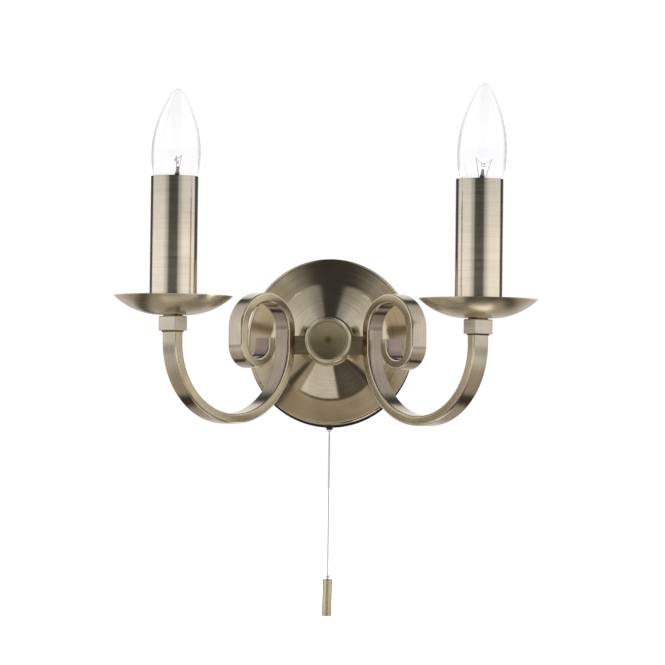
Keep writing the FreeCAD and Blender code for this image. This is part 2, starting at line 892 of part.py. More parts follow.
def make_collar(name, side):
    """Cast collar: a block with a socket for the bar and a round neck that carries the pan."""
    base = size("collar_base")
    top = base + size("collar_height")
    margin = size("collar_margin") * 2
    body = add_body("collar_" + name)
    plan = add_sketch(body, "collar_plan", "XY_Plane", base)
    rounded_rectangle(plan, size("bar_thickness") + margin, size("bar_width") + margin, size("collar_corner"))
    add_pad(body, "collar_block", plan, size("collar_height"))
    neck = add_sketch(body, "neck_outline", "XZ_Plane")
    trace(neck, (ZERO, top), [
        line(size("collar_neck_radius"), top),
        line(size("collar_neck_radius"), top + size("collar_neck_height")),
        line(ZERO, top + size("collar_neck_height")),
        line(ZERO, top),
    ])
    add_turn(body, "collar_neck", neck)
    socket = add_sketch(body, "bar_socket", "XY_Plane", base)
    gap = size("socket_clearance") * 2
    rounded_rectangle(socket, size("bar_thickness") + gap, size("bar_width") + gap, size("bar_corner"))
    add_pocket(body, "socket_cut", socket, size("socket_depth"), reversed_cut=True)
    bore = add_sketch(body, "nipple_bore", "XY_Plane", base)
    circle(bore, size("nipple_radius") + size("thread_clearance"))
    add_pocket(body, "bore_cut", bore, size("collar_height") * THROUGH, reversed_cut=True)
    return keep(turn_into_arm_plane(body, side, candle_x, candle_depth), "collar_" + name)


pan_base = size("collar_base") + size("collar_height") + size("collar_neck_height")
pan_floor = pan_base + size("pan_wall")
seat_top = pan_floor + size("seat_foot_height") + size("seat_thickness")
nipple_base = bar_end + size("socket_clearance")
nipple_hole = size("nipple_radius") + size("thread_clearance")

# The lamp stands by its widest ring above the tube's top; its holder and the nipple follow it down.
tube_inner = size("tube_radius") - size("tube_wall")
tube_base = pan_floor + size("tube_gap")
tube_top = tube_base + size("tube_length")
lamp_waist = tube_top + size("lamp_rise")
lamp_base = lamp_waist - size("lamp_waist_height")
holder_top = lamp_base + size("lamp_depth")
holder_shelf = lamp_base - size("lamp_gap") - size("contact_height")
holder_base = holder_shelf - size("holder_floor")
nipple_top = holder_base + size("nipple_grip")


def make_pan(name, side):
    """Spun drip pan: a shallow bowl with a thin edge, clamped on the collar's neck."""
    rim_height = pan_base + size("pan_height")
    body = turned("drip_pan_" + name, (ZERO, pan_base), [
        line(size("pan_flat"), pan_base),
        arc(size("pan_radius"), rim_height, size("pan_curve_radius"), 1),
        line(ZERO, rim_height),
        line(ZERO, pan_base),
    ])
    doc.recompute()
    add_shell(body, "pan_shell", flat_face(body.Shape, rim_height), size("pan_wall"))
    hole = add_sketch(body, "pan_hole", "XY_Plane", pan_base)
    circle(hole, nipple_hole)
    add_pocket(body, "pan_cut", hole, size("pan_wall") * THROUGH, reversed_cut=True)
    return keep(place(body, candle_x * side, -candle_depth), "drip_pan_" + name)


def make_nipple(name, side):
    """Hollow threaded nipple that holds collar, pan, seat and lampholder in line."""
    body = turned("nipple_" + name, (size("nipple_bore"), nipple_base), [
        line(size("nipple_radius"), nipple_base),
        line(size("nipple_radius"), nipple_top),
        line(size("nipple_bore"), nipple_top),
        line(size("nipple_bore"), nipple_base),
    ])
    return keep(place(body, candle_x * side, -candle_depth), "nipple_" + name)


def make_tube_seat(name, side):
    """Turned seat that centres the candle tube above the pan."""
    reach = tube_inner - size("seat_clearance")
    foot = size("seat_foot_radius")
    under = pan_floor + size("seat_foot_height")
    body = turned("tube_seat_" + name, (nipple_hole, pan_floor), [
        line(foot, pan_floor),
        line(foot, under),
        line(reach, under),
        line(reach, seat_top),
        line(nipple_hole, seat_top),
        line(nipple_hole, pan_floor),
    ])
    return keep(place(body, candle_x * side, -candle_depth), "tube_seat_" + name)


def make_lock_nut(name, side):
    nut = hex_nut("lock_nut_" + name, size("lock_nut_flats"), nipple_hole, size("lock_nut_thickness"),
                  x=candle_x * side, y=-candle_depth, z=seat_top)
    return keep(nut, "lock_nut_" + name)


def make_candle_tube(name, side):
    """Brass candle tube, slipped over the seat and standing just clear of the pan's curve."""
    body = turned("candle_tube_" + name, (tube_inner, tube_base), [
        line(size("tube_radius"), tube_base),
        line(size("tube_radius"), tube_top),
        line(tube_inner, tube_top),
        line(tube_inner, tube_base),
    ])
    return keep(place(body, candle_x * side, -candle_depth), "candle_tube_" + name)


# ================================================================ lampholder and lamp

sleeve_inner = size("lamp_cap_radius") + size("sleeve_clearance")
sleeve_outer = sleeve_inner + size("sleeve_wall")
lamp_cap_base = lamp_base + size("lamp_insulator_height")
lamp_cap_top = lamp_cap_base + size("lamp_cap_height")
lamp_glass_base = lamp_cap_top - size("lamp_neck_seat")
lamp_tip = lamp_base + size("lamp_length")


def make_lampholder(name, side):
    """Moulded lampholder: a deep cup screwed on the nipple, with a lip that keeps the sleeve in."""
    thread_end = nipple_top + size("thread_clearance")
    ledge = sleeve_outer + size("thread_clearance")
    lip = holder_top - size("holder_lip")
    body = turned("lampholder_" + name, (nipple_hole, holder_base), [
        line(size("holder_radius"), holder_base),
        line(size("holder_radius"), holder_top),
        line(ledge, holder_top),
        line(ledge, lip),
        line(size("holder_cavity"), lip),
        line(size("holder_cavity"), holder_shelf),
        line(size("holder_wire_bore"), holder_shelf),
        line(size("holder_wire_bore"), thread_end),
        line(nipple_hole, thread_end),
        line(nipple_hole, holder_base),
    ])
    return keep(place(body, candle_x * side, -candle_depth), "lampholder_" + name)


def make_screw_sleeve(name, side):
    """Threaded brass sleeve of the lampholder, hung from its top flange."""
    top = holder_top - size("holder_lip")
    low = top - size("sleeve_length")
    flange = size("holder_cavity") - size("thread_clearance")
    body = turned("screw_sleeve_" + name, (sleeve_inner, low), [
        line(sleeve_outer, low),
        line(sleeve_outer, top - size("sleeve_wall")),
        line(flange, top - size("sleeve_wall")),
        line(flange, top),
        line(sleeve_inner, top),
        line(sleeve_inner, low),
    ])
    return keep(place(body, candle_x * side, -candle_depth), "screw_sleeve_" + name)


def make_centre_contact(name, side):
    """Live contact button on the lampholder's floor."""
    wide = size("holder_cavity") - size("thread_clearance")
    step = holder_shelf + size("sleeve_wall")
    top = holder_shelf + size("contact_height")
    body = turned("centre_contact_" + name, (ZERO, holder_shelf), [
        line(wide, holder_shelf),
        line(wide, step),
        line(size("contact_radius"), step),
        line(size("contact_radius"), top),
        line(ZERO, top),
        line(ZERO, holder_shelf),
    ])
    return keep(place(body, candle_x * side, -candle_depth), "centre_contact_" + name)


def make_lamp_cap(name, side):
    """Screw cap of the lamp, a thin brass shell crimped round the glass neck."""
    inner = size("lamp_neck_radius") + size("thread_clearance")
    body = turned("lamp_cap_" + name, (inner, lamp_cap_base), [
        line(size("lamp_cap_radius"), lamp_cap_base),
        line(size("lamp_cap_radius"), lamp_cap_top),
        line(inner, lamp_cap_top),
        line(inner, lamp_cap_base),
    ])
    return keep(place(body, candle_x * side, -candle_depth), "lamp_cap_" + name)


def make_lamp_insulator(name, side):
    """Black glass end of the screw cap with the tin contact tip under it."""
    tip = size("lamp_tip_radius")
    body = turned("lamp_insulator_" + name, (ZERO, lamp_base), [
        line(tip, lamp_base),
        line(tip, lamp_base + size("lamp_tip_height")),
        line(size("lamp_cap_radius"), lamp_cap_base),
        line(ZERO, lamp_cap_base),
        line(ZERO, lamp_base),
    ])
    return keep(place(body, candle_x * side, -candle_depth), "lamp_insulator_" + name)


def bulb_outline(inset, tip):
    """Corners of a candle lamp's side: up from its neck, out over the shoulder, then in along the ogive."""
    neck = size("lamp_neck_radius") - inset
    widest = size("lamp_radius") - inset
    shoulder_drop = size("lamp_shoulder_drop")
    swell = size("lamp_radius") - (tube_inner - size("lamp_clearance"))
    low_curve = (shoulder_drop * shoulder_drop + swell * swell) / (swell * 2)
    corners = [(neck, lamp_glass_base), (neck, lamp_cap_top)]
    for band in range(LOW_BANDS):
        drop = shoulder_drop * (1 - band / LOW_BANDS)
        corners.append((widest - low_curve + root(low_curve * low_curve - drop * drop), lamp_waist - drop))
    corners.append((widest, lamp_waist))
    rise = tip - lamp_waist
    narrowing = widest - size("lamp_tip_width")
    high_curve = (rise * rise + narrowing * narrowing) / (narrowing * 2)
    for band in range(1, HIGH_BANDS + 1):
        climb = rise * (band / HIGH_BANDS)
        corners.append((widest - high_curve + root(high_curve * high_curve - climb * climb), lamp_waist + climb))
    return corners


def make_lamp_glass(name, side):
    """Clear candle lamp: a thin blown shell, open at the neck, drawn to a small closed nib."""
    shoulder = lamp_tip - size("lamp_nib")
    outside = bulb_outline(ZERO, shoulder)
    inside = bulb_outline(size("lamp_wall"), shoulder - size("lamp_wall"))
    path = outside + [(ZERO, lamp_tip), (ZERO, inside[-1][1])] + inside[::-1] + [outside[0]]
    body = turned("lamp_glass_" + name, path[0], [line(radius, height) for radius, height in path[1:]])
    return keep(place(body, candle_x * side, -candle_depth), "lamp_glass_" + name)


def make_lamp_stem(name, side):
    """Glass stem inside the lamp that carries the wires."""
    wide = size("lamp_neck_radius") - size("lamp_wall") - size("thread_clearance")
    top = lamp_glass_base + size("stem_length")
    body = turned("lamp_stem_" + name, (ZERO, lamp_glass_base), [
        line(wide, lamp_glass_base),
        arc(size("stem_radius"), lamp_glass_base + size("stem_flare_height"), size("stem_flare_curve"), -1),
        line(size("stem_top_radius"), top),
        line(ZERO, top),
        line(ZERO, lamp_glass_base),
    ])
    return keep(place(body, candle_x * side, -candle_depth), "lamp_stem_" + name)


def make_lamp_filament(name, side):
    """Two splayed support wires in the stem, joined at their tops by the coiled filament."""
    foot_height = lamp_glass_base + size("stem_length")
    foot = size("lead_foot_reach")
    top = size("lead_top_reach")
    rise = size("lead_height")
    reach = root((top - foot) * (top - foot) + rise * rise)
    lean = arctangent((top - foot) / rise)
    wires = []
    for row in (-1, 1):
        wires.append(cylinder(f"support_wire_{name}", size("lead_wire_radius"), reach,
                              foot * row, z=foot_height, axis=Y_AXIS, angle=lean * row))
    wires.append(cylinder(f"filament_coil_{name}", size("filament_radius"), top * 2,
                          -top, z=foot_height + rise, axis=Y_AXIS, angle=QUARTER_TURN))
    frame = doc.addObject("Part::MultiFuse", f"lamp_frame_{name}")
    frame.Shapes = wires
    return keep(place(frame, candle_x * side, -candle_depth), "lamp_filament_" + name)


def make_arm_wires(name, side):
    """The two insulated strands that run inside the arm from the hub to the lampholder."""
    strand_end = nipple_top + size("strand_tail")
    strands = []
    for row in (-1, 1):
        body = add_body(f"strand_{name}")
        spine = add_sketch(body, "strand_line", "XZ_Plane")
        trace(spine, (sweep_end, strand_end), [
            line(sweep_end, size("sweep_height")),
            half(ZERO, size("sweep_height"), -1),
            line(ZERO, size("strand_start") + size("strand_radius") * 2),
        ])
        section = add_sketch(body, "strand_section", "XY_Plane", strand_end)
        circle(section, size("strand_radius"), sweep_end, size("strand_spacing") / 2 * row)
        add_pipe(body, "Additive", "strand_pipe", section, spine)
        turn_into_arm_plane(body, side, size("column_x"), size("column_depth"))
        strands.append(body)
    return keep(group("arm_wires_" + name, strands), "arm_wires_" + name)


# ================================================================ pull switch and cord

switch_back = plate_front + size("switch_gap")
switch_front = switch_back + size("switch_depth")
switch_floor = size("switch_top") - size("switch_tall")


def make_switch_case():
    """Moulded switch case on the wall plate, open to the room side under its lid."""
    wall = size("switch_wall")
    width = size("switch_width")
    tall = size("switch_tall")
    outer = box("case_block", (-(width / 2), -switch_front, switch_floor), (width, size("switch_depth"), tall))
    room = box("case_room", (wall - width / 2, -switch_front, switch_floor + wall),
               (width - wall * 2, size("switch_depth") - wall, tall - wall * 2))
    hole = cylinder("link_hole", size("link_hole_radius"), wall, ZERO, -size("nozzle_depth"), switch_floor)
    keep(cut("switch_case", outer, room, hole), "switch_case")
    lid = box("switch_lid", (-(width / 2), -(switch_front + size("lid_thickness")), switch_floor),
              (width, size("lid_thickness"), tall))
    keep(lid, "switch_lid")


def make_switch_nozzle():
    """Threaded nozzle under the switch; its cone shows below the canopy's rim."""
    cone = size("nozzle_tip_end") + size("nozzle_tip_height")
    body = turned("switch_nozzle", (size("nozzle_bore"), size("nozzle_tip_end")), [
        line(size("nozzle_tip_radius"), size("nozzle_tip_end")),
        line(size("nozzle_radius"), cone),
        line(size("nozzle_radius"), switch_floor),
        line(size("nozzle_bore"), switch_floor),
        line(size("nozzle_bore"), size("nozzle_tip_end")),
    ])
    keep(place(body, y=-size("nozzle_depth")), "switch_nozzle")
    seat = size("canopy_wall") + size("nozzle_clearance") * 2 - size("canopy_radius")
    nut = hex_nut("nozzle_nut", size("nozzle_nut_flats"), size("nozzle_radius") + size("thread_clearance"),
                  size("nozzle_nut_thickness"), y=-size("nozzle_depth"), z=seat)
    keep(nut, "nozzle_nut")


def make_cord_guide():
    """White nylon guide pressed into the nozzle, flaring to a small funnel round the cord."""
    mouth = size("nozzle_tip_end") - size("guide_length")
    stem = size("nozzle_bore") - size("thread_clearance")
    top = size("nozzle_tip_end") + size("guide_stem_length")
    body = turned("cord_guide", (size("guide_bore"), mouth), [
        line(size("guide_mouth_radius"), mouth),
        line(size("guide_top_radius"), size("nozzle_tip_end")),
        line(stem, size("nozzle_tip_end")),
        line(stem, top),
        line(size("guide_bore"), top),
        line(size("guide_bore"), mouth),
    ])
    return keep(place(body, y=-size("nozzle_depth")), "cord_guide")


def make_pull_link():
    """Sliding link of the switch: a head above the return spring on a thin tail down to the cord."""
    mouth = size("nozzle_tip_end") - size("guide_length")
    under = size("link_top") - size("link_head_height")
    body = turned("pull_link", (ZERO, mouth), [
        line(size("link_radius"), mouth),
        line(size("link_radius"), under),
        line(size("link_head_radius"), under),
        line(size("link_head_radius"), size("link_top")),
        line(ZERO, size("link_top")),
        line(ZERO, mouth),
    ])
    return keep(place(body, y=-size("nozzle_depth")), "pull_link")


def make_return_spring():
    """Compression spring of square wire between the case's floor and the link's head."""
    wire = size("spring_wire")
    inner = size("spring_radius") - wire / 2
    outer = size("spring_radius") + wire / 2
    floor = switch_floor + size("switch_wall") + wire / 2
    under = size("link_top") - size("link_head_height") - wire / 2
    body = add_body("return_spring")
    section = add_sketch(body, "spring_section", "XZ_Plane")
    trace(section, (inner, floor - wire / 2), [
        line(outer, floor - wire / 2),
        line(outer, floor + wire / 2),
        line(inner, floor + wire / 2),
        line(inner, floor - wire / 2),
    ])
    coil = body.newObject("PartDesign::AdditiveHelix", "spring_coil")
    coil.Profile = section
    coil.ReferenceAxis = (section, ["V_Axis"])
    coil.Mode = "pitch-height-angle"
    bind(coil, "Height", under - floor)
    bind(coil, "Pitch", (under - floor) / size("spring_coils"))
    body.Tip = coil
    return keep(place(body, y=-size("nozzle_depth")), "return_spring")


def make_switch_lever():
    """Contact lever on its pin; the link's travel swings it down."""
    case_room_back = switch_back + size("switch_wall")
    thick = size("lever_thickness")
    body = add_body("switch_lever")
    plan = add_sketch(body, "lever_outline", "XZ_Plane")
    hub = size("lever_hub_radius")
    reach = size("lever_reach")
    trace(plan, (ZERO, hub), [
        half(ZERO, -hub, 1),
        line(reach, -(hub / 2)),
        line(reach, hub / 2),
        line(ZERO, hub),
    ])
    circle(plan, size("pin_radius") + size("pin_clearance"))
    add_pad(body, "lever_pad", plan, thick)
    place(body, size("lever_pivot_x"), -(case_room_back + size("lever_gap")), size("lever_pivot_height"))
    keep(body, "switch_lever")
    pin = cylinder("switch_pin", size("pin_radius"), switch_front - case_room_back,
                   size("lever_pivot_x"), -case_room_back, size("lever_pivot_height"), X_AXIS, QUARTER_TURN)
    keep(pin, "switch_pin")


def make_cord():
    """White pull cord, hanging straight under the toggle's weight, with its knot and the brass toggle."""
    top = size("nozzle_tip_end") - size("guide_length") - size("cord_gap")
    depth = -size("nozzle_depth")
    run = top - size("cord_end")
    cord = cylinder("pull_cord", size("cord_radius"), run, y=depth, z=size("cord_end"))
    keep(cord, "pull_cord")
    doc.recompute()
    section = math.pi * size("cord_radius").value ** 2
    print(f"cord: one straight run of {run.value:.1f} mm, no bend to measure")
    print(f"cord: {cord.Shape.Volume:.2f} mm3, against section times length {section * run.value:.2f} mm3")
    knot = doc.addObject("Part::Sphere", "cord_knot")
    bind(knot, "Radius", size("knot_radius"))
    knot_height = size("cord_end") - size("knot_radius")
    keep(place(knot, y=depth, z=knot_height), "cord_knot")
    crown = knot_height - size("knot_radius") - size("toggle_gap")
    foot = crown - size("toggle_length")
    wide = size("toggle_radius")
    bevel = size("toggle_chamfer")
    bore = size("toggle_bore")
    body = turned("pull_toggle", (bore, foot), [
        line(wide - bevel, foot),
        line(wide, foot + bevel),
        line(wide, crown - bevel),
        line(wide - bevel, crown),
        line(bore, crown),
        line(bore, foot),
    ])
    keep(place(body, y=depth), "pull_toggle")


# ================================================================ build

make_wall_plate()
make_cable_grommet()
make_terminal_block()
make_earth_screw()
make_canopy()
make_rod()
make_rod_nut()
make_crossbar()
make_cap()
make_hub_strands()
for side_name, direction in SIDES:
    make_arm(side_name, direction)
    make_arm_wires(side_name, direction)
    make_collar(side_name, direction)
    make_pan(side_name, direction)
    make_nipple(side_name, direction)
    make_tube_seat(side_name, direction)
    make_lock_nut(side_name, direction)
    make_candle_tube(side_name, direction)
    make_lampholder(side_name, direction)
    make_screw_sleeve(side_name, direction)
    make_centre_contact(side_name, direction)
    make_lamp_cap(side_name, direction)
    make_lamp_insulator(side_name, direction)
    make_lamp_glass(side_name, direction)
    make_lamp_stem(side_name, direction)
    make_lamp_filament(side_name, direction)
make_switch_case()
make_switch_nozzle()
make_cord_guide()
make_pull_link()
make_return_spring()
make_switch_lever()
make_cord()

doc.recompute()
for thing in doc.Objects:
    if "Invalid" in thing.State or "Error" in thing.State:
        raise RuntimeError(f"{thing.Label} failed: {thing.State}")

os.makedirs("parts", exist_ok=True)
for piece in parts:
    shape = piece.Shape
    if shape.isNull() or not shape.isValid() or not shape.Solids:
        raise RuntimeError(f"{piece.Label} has no valid solid")
    shape.exportStep(f"parts/{piece.Label}.step")
    print(f"{piece.Label}: {len(shape.Solids)} solid(s), {shape.Volume:.1f} mm3")
print(f"{len(parts)} nodes")
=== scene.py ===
# %% [markdown]
# # A double arm wall sconce
#
# A spun brass canopy on the wall carries two scrolled brass arms with candle tubes and clear candle lamps.
# A pull cord hangs below it. The solids come packed from the CAD model, in metres, with +Z up and -Y out
# into the room. This lesson dresses them: it lights them like a catalogue picture, gives each one the
# finish of the real thing, and makes again the few pieces that only a finer mesh can show.

# %% Load the frame
import json
import math

import bmesh
import bpy
from mathutils import Matrix, Vector


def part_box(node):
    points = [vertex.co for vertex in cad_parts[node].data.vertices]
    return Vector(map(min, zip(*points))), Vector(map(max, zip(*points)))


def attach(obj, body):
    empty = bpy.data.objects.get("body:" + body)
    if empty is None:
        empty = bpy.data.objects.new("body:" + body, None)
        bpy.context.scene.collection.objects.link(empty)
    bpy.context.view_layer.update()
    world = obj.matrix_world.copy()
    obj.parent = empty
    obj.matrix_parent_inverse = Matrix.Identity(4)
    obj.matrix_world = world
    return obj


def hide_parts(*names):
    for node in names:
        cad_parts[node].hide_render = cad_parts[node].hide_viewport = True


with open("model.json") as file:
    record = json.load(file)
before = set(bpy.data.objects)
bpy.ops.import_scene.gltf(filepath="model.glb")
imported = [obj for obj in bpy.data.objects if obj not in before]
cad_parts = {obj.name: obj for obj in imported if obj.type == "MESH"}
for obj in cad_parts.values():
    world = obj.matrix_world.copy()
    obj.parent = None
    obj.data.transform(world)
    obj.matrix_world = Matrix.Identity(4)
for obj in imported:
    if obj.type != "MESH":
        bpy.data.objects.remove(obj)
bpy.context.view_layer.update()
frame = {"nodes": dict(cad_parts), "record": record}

MM = 0.001
bpy.context.scene.view_settings.view_transform = "Standard"

# %% [markdown]
# ## The camera
#
# The catalogue picture was taken from about two and a half metres with a long lens, a little below the
# hub and a little to its right, so both tubes show their fronts and the pans show their undersides.
# A long lens keeps the verticals upright. The picture is turned by under one degree, so the camera rolls.

# %% Place the camera
CAMERA_PLACE = Vector((0.0862, -2.5, -0.075))
CAMERA_AIM = Vector((0.0029, -0.05, 0.0057))
CAMERA_ROLL = math.radians(0.70)
LENS_MM = 183.77
SENSOR_MM = 36.0

camera_data = bpy.data.cameras.new("catalogue_camera")
camera_data.lens = LENS_MM
camera_data.sensor_width = SENSOR_MM
camera = bpy.data.objects.new("catalogue_camera", camera_data)
bpy.context.scene.collection.objects.link(camera)
look = (CAMERA_AIM - CAMERA_PLACE).to_track_quat("-Z", "Y").to_matrix().to_4x4()
camera.matrix_world = Matrix.Translation(CAMERA_PLACE) @ look @ Matrix.Rotation(CAMERA_ROLL, 4, "Z")
bpy.context.scene.camera = camera
print("camera distance in metres:", round((CAMERA_AIM - CAMERA_PLACE).length, 3))

# %% [markdown]
# ## Colours and nodes
#
# Finishes are written as the hex colours that a paint chart would give. Shaders count in linear light,
# so one function turns them over. Another adds a node with its settings and links in one line, which
# keeps each finish short enough to read. Three settings come back in almost every finish: a Map Range that
# eases in and out, a Mix of two colours, and a Mix that multiplies one colour by another, as a stain does.

# %% A colour in linear light
def linear(hex_colour):
    """An sRGB hex colour as linear red, green, blue and alpha."""
    channels = [int(hex_colour[place:place + 2], 16) / 255 for place in (1, 3, 5)]
    return tuple(c / 12.92 if c <= 0.04045 else ((c + 0.055) / 1.055) ** 2.4 for c in channels) + (1.0,)


print("middle grey in linear light:", round(linear("#808080")[0], 3))

# %% A node and a plain finish
SMOOTH = {"interpolation_type": "SMOOTHSTEP"}
TINT = {"data_type": "RGBA"}
SHADE = {"data_type": "RGBA", "blend_type": "MULTIPLY"}


def add(tree, kind, inputs=(), **settings):
    """One shader node with its settings; inputs set or link its sockets in order, or by name or number."""
    node = tree.nodes.new("ShaderNode" + kind)
    for name, value in settings.items():
        setattr(node, name, value)
    for socket, value in inputs.items() if isinstance(inputs, dict) else enumerate(inputs):
        if isinstance(value, bpy.types.NodeSocket):
            tree.links.new(value, node.inputs[socket])
        else:
            node.inputs[socket].default_value = value
    return node


def new_finish(name, colour, metallic, roughness):
    """A material with its shader set to plain values, ready for its pattern."""
    material = bpy.data.materials.new(name)
    material.use_nodes = True
    shader = material.node_tree.nodes["Principled BSDF"]
    shader.inputs["Base Color"].default_value = linear(colour)
    shader.inputs["Metallic"].default_value = metallic
    shader.inputs["Roughness"].default_value = roughness
    return material, material.node_tree, shader


# %% [markdown]
# ## The pull cord
#
# The cord is thin braided cotton. The toggle's weight pulls it straight, so its route is one plumb run from
# the guide's mouth to the knot. A cylinder would look the same, but a curve with a round section keeps its
# true length where it is bent, so all cords and wires of this lamp are laid as curves by one function. The
# bevel is one metre deep, and each point's radius then says the line's own size.

# %% Lay a line
def lay_lines(name, runs, radius, resolution=3, capped=True):
    """Round lines as one curve object; each run is a list of points in metres."""
    data = bpy.data.curves.new(name, "CURVE")
    data.dimensions = "3D"
    data.bevel_depth = 1.0
    data.bevel_resolution = resolution
    data.use_fill_caps = capped
    for points in runs:
        spline = data.splines.new("NURBS")
        spline.points.add(len(points) - 1)
        for point, place in zip(spline.points, points):
            point.co = (*place, 1.0)
            point.radius = radius
        spline.order_u = 3
        spline.use_endpoint_u = True
    thing = bpy.data.objects.new(name, data)
    bpy.context.scene.collection.objects.link(thing)
    return thing


# %% Lay the cord
CORD_DEPTH = -5.8 * MM
CORD_TOP = -66.85 * MM
CORD_NEAR_MOUTH = -74.0 * MM
CORD_END = -170.8 * MM
CORD_RADIUS = 0.6 * MM
cord_points = [(0.0, CORD_DEPTH, height) for height in (CORD_TOP, CORD_NEAR_MOUTH, CORD_END)]
cord = lay_lines("braided_cord", [cord_points], CORD_RADIUS, resolution=5, capped=False)
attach(cord, "hanging_cord")
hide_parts("pull_cord")

# %% [markdown]
# ## The studio
#
# Polished brass looks like the room it stands in. By its reflections, the real one stood between two tall
# soft boxes, over a pale table, with the dark of the studio in a strip in front and above, and a dark wall
# behind. The strip gives every upright tube its dark middle line, and the wall its dark edges. Real boxes
# could stand in the scene, but each would have to be hidden from the camera and moved to shape a reflection.
# So the boxes and the strip are drawn in the world, where only what brass reflects sees them: the camera and
# clear glass see plain white. A direction in the room has X to the right, Y towards the wall and Z up, each
# from -1 to 1.

# %% Boxes at the sides and a dark strip in front
STRIP_EDGE = 0.41  # half the strip's width at the horizon
STRIP_EDGE_ABOVE = 0.21  # and where it is narrowest
STRIP_RISE = (0.0, 0.7)  # the heights between which it narrows
STRIP_SOFT = 0.06
BOX_RISE = 0.42  # how far past the strip a box reaches its full level
BOX_NEAR = 0.5
BOX_LEVEL = 1.0
CEILING_RISE = (0.2, 0.75)
CEILING_LEVEL = 0.66


def strip_and_boxes(tree, split):
    """How open a direction is, from 0 in the dark strip, and how bright the soft box in it is."""
    aside = add(tree, "Math", (split["X"],), operation="ABSOLUTE").outputs[0]
    edge = add(tree, "MapRange", (split["Z"], *STRIP_RISE, STRIP_EDGE, STRIP_EDGE_ABOVE)).outputs[0]
    past = add(tree, "Math", (aside, edge), operation="SUBTRACT").outputs[0]
    strip = add(tree, "MapRange", (past, -STRIP_SOFT, STRIP_SOFT, 0.0, 1.0), **SMOOTH).outputs[0]
    far = add(tree, "MapRange", (past, STRIP_SOFT, BOX_RISE, BOX_NEAR, 1.0), **SMOOTH).outputs[0]
    tall = add(tree, "MapRange", (split["Z"], *CEILING_RISE, BOX_LEVEL, CEILING_LEVEL), **SMOOTH).outputs[0]
    box = add(tree, "Math", (far, tall), operation="MULTIPLY").outputs[0]
    return strip, box


print("dark strip in front, degrees each way:", round(math.degrees(math.asin(STRIP_EDGE)), 1))

# %% The wall behind
WALL_SPAN = (0.42, 0.60)  # where the open side gives way to the wall
WALL_LEVEL = 0.10
WALL_TOP_SPAN = (0.66, 0.78)
WALL_TOP_RISE = (0.15, 0.3)
WALL_TOP_LEVEL = 1.0
DARK_LEVEL = 0.05
BACKDROP_SPAN = (0.90, 0.97)  # the bright patch straight behind the light
BACKDROP_LEVEL = 0.9


def dark_side(tree, split):
    """The wall and the strip: dark but for the wall's top and one patch straight behind the light."""
    by_wall = add(tree, "MapRange", (split["Y"], *WALL_TOP_SPAN, 0.0, 1.0), **SMOOTH).outputs[0]
    rising = add(tree, "MapRange", (split["Z"], *WALL_TOP_RISE, WALL_LEVEL, WALL_TOP_LEVEL), **SMOOTH).outputs[0]
    wall_top = add(tree, "Math", (by_wall, rising), operation="MULTIPLY").outputs[0]
    backdrop = add(tree, "MapRange", (split["Y"], *BACKDROP_SPAN, DARK_LEVEL, BACKDROP_LEVEL), **SMOOTH)
    return add(tree, "Math", (wall_top, backdrop.outputs[0]), operation="MAXIMUM").outputs[0]


def room_level(tree):
    """The whole room's brightness by direction."""
    split = add(tree, "SeparateXYZ", (add(tree, "TexCoord").outputs["Generated"],)).outputs
    strip, box = strip_and_boxes(tree, split)
    front = add(tree, "MapRange", (split["Y"], *WALL_SPAN, 1.0, 0.0), **SMOOTH).outputs[0]
    open_side = add(tree, "Math", (strip, front), operation="MULTIPLY").outputs[0]
    return add(tree, "Mix", {"Factor": open_side, 2: dark_side(tree, split), 3: box},
               data_type="FLOAT").outputs[0]


# %% Draw the room in the world
FILL_LEVEL = 0.6  # what lights everything that isn't a reflection


def ray_kinds(tree):
    """Whether a ray comes straight from the camera or through glass, and whether it is a reflection."""
    path = add(tree, "LightPath").outputs
    seen = add(tree, "Math", (path["Is Camera Ray"], path["Is Transmission Ray"]), operation="MAXIMUM")
    return seen.outputs[0], path["Is Glossy Ray"]


def build_world():
    """A world that is white to the camera, even to dull surfaces and the drawn room to brass."""
    world = bpy.data.worlds.new("studio")
    bpy.context.scene.world = world
    world.use_nodes = True
    tree = world.node_tree
    tree.nodes.clear()
    seen, glossy = ray_kinds(tree)
    shiny = add(tree, "Mix", {"Factor": glossy, 2: FILL_LEVEL, 3: room_level(tree)}, data_type="FLOAT").outputs[0]
    strength = add(tree, "Mix", {"Factor": seen, 2: shiny, 3: 1.0}, data_type="FLOAT").outputs[0]
    background = add(tree, "Background", {"Color": (1.0, 1.0, 1.0, 1.0), "Strength": strength})
    add(tree, "OutputWorld", {"Surface": background.outputs[0]})


build_world()
print("nodes in the world:", len(bpy.data.worlds["studio"].node_tree.nodes))

# %% [markdown]
# ## Lamps and cards
#
# Two area lamps stand where the soft boxes are drawn. They light what isn't metal and give the floor its
# soft shadow, and the brass doesn't see them, because it sees the drawn boxes already. Two small cards lie
# under the light and face up. The brass does see those: they put the bright patches on the lower half of
# the canopy, as pale cards laid on a table would.

# %% Two soft boxes and two bounce cards
SIDES = (("left", -1.0), ("right", 1.0))
LAMP_X = 1.6
LAMP_Y = -0.3
LAMP_LIFT = 0.55
LAMP_LENGTH = 4.0
LAMP_TALL = 3.0
LAMP_RADIANCE = 0.55
CARD_HEIGHT = -0.255
CARD_WIDTH = 0.09
CARDS = {  # x, y, length, radiance
    "bounce_card": (-0.066, -0.100, 0.20, 0.74),
    "small_card": (0.120, 0.01, 0.10, 1.7),
}
UP = (0.0, 0.0, 1.0)


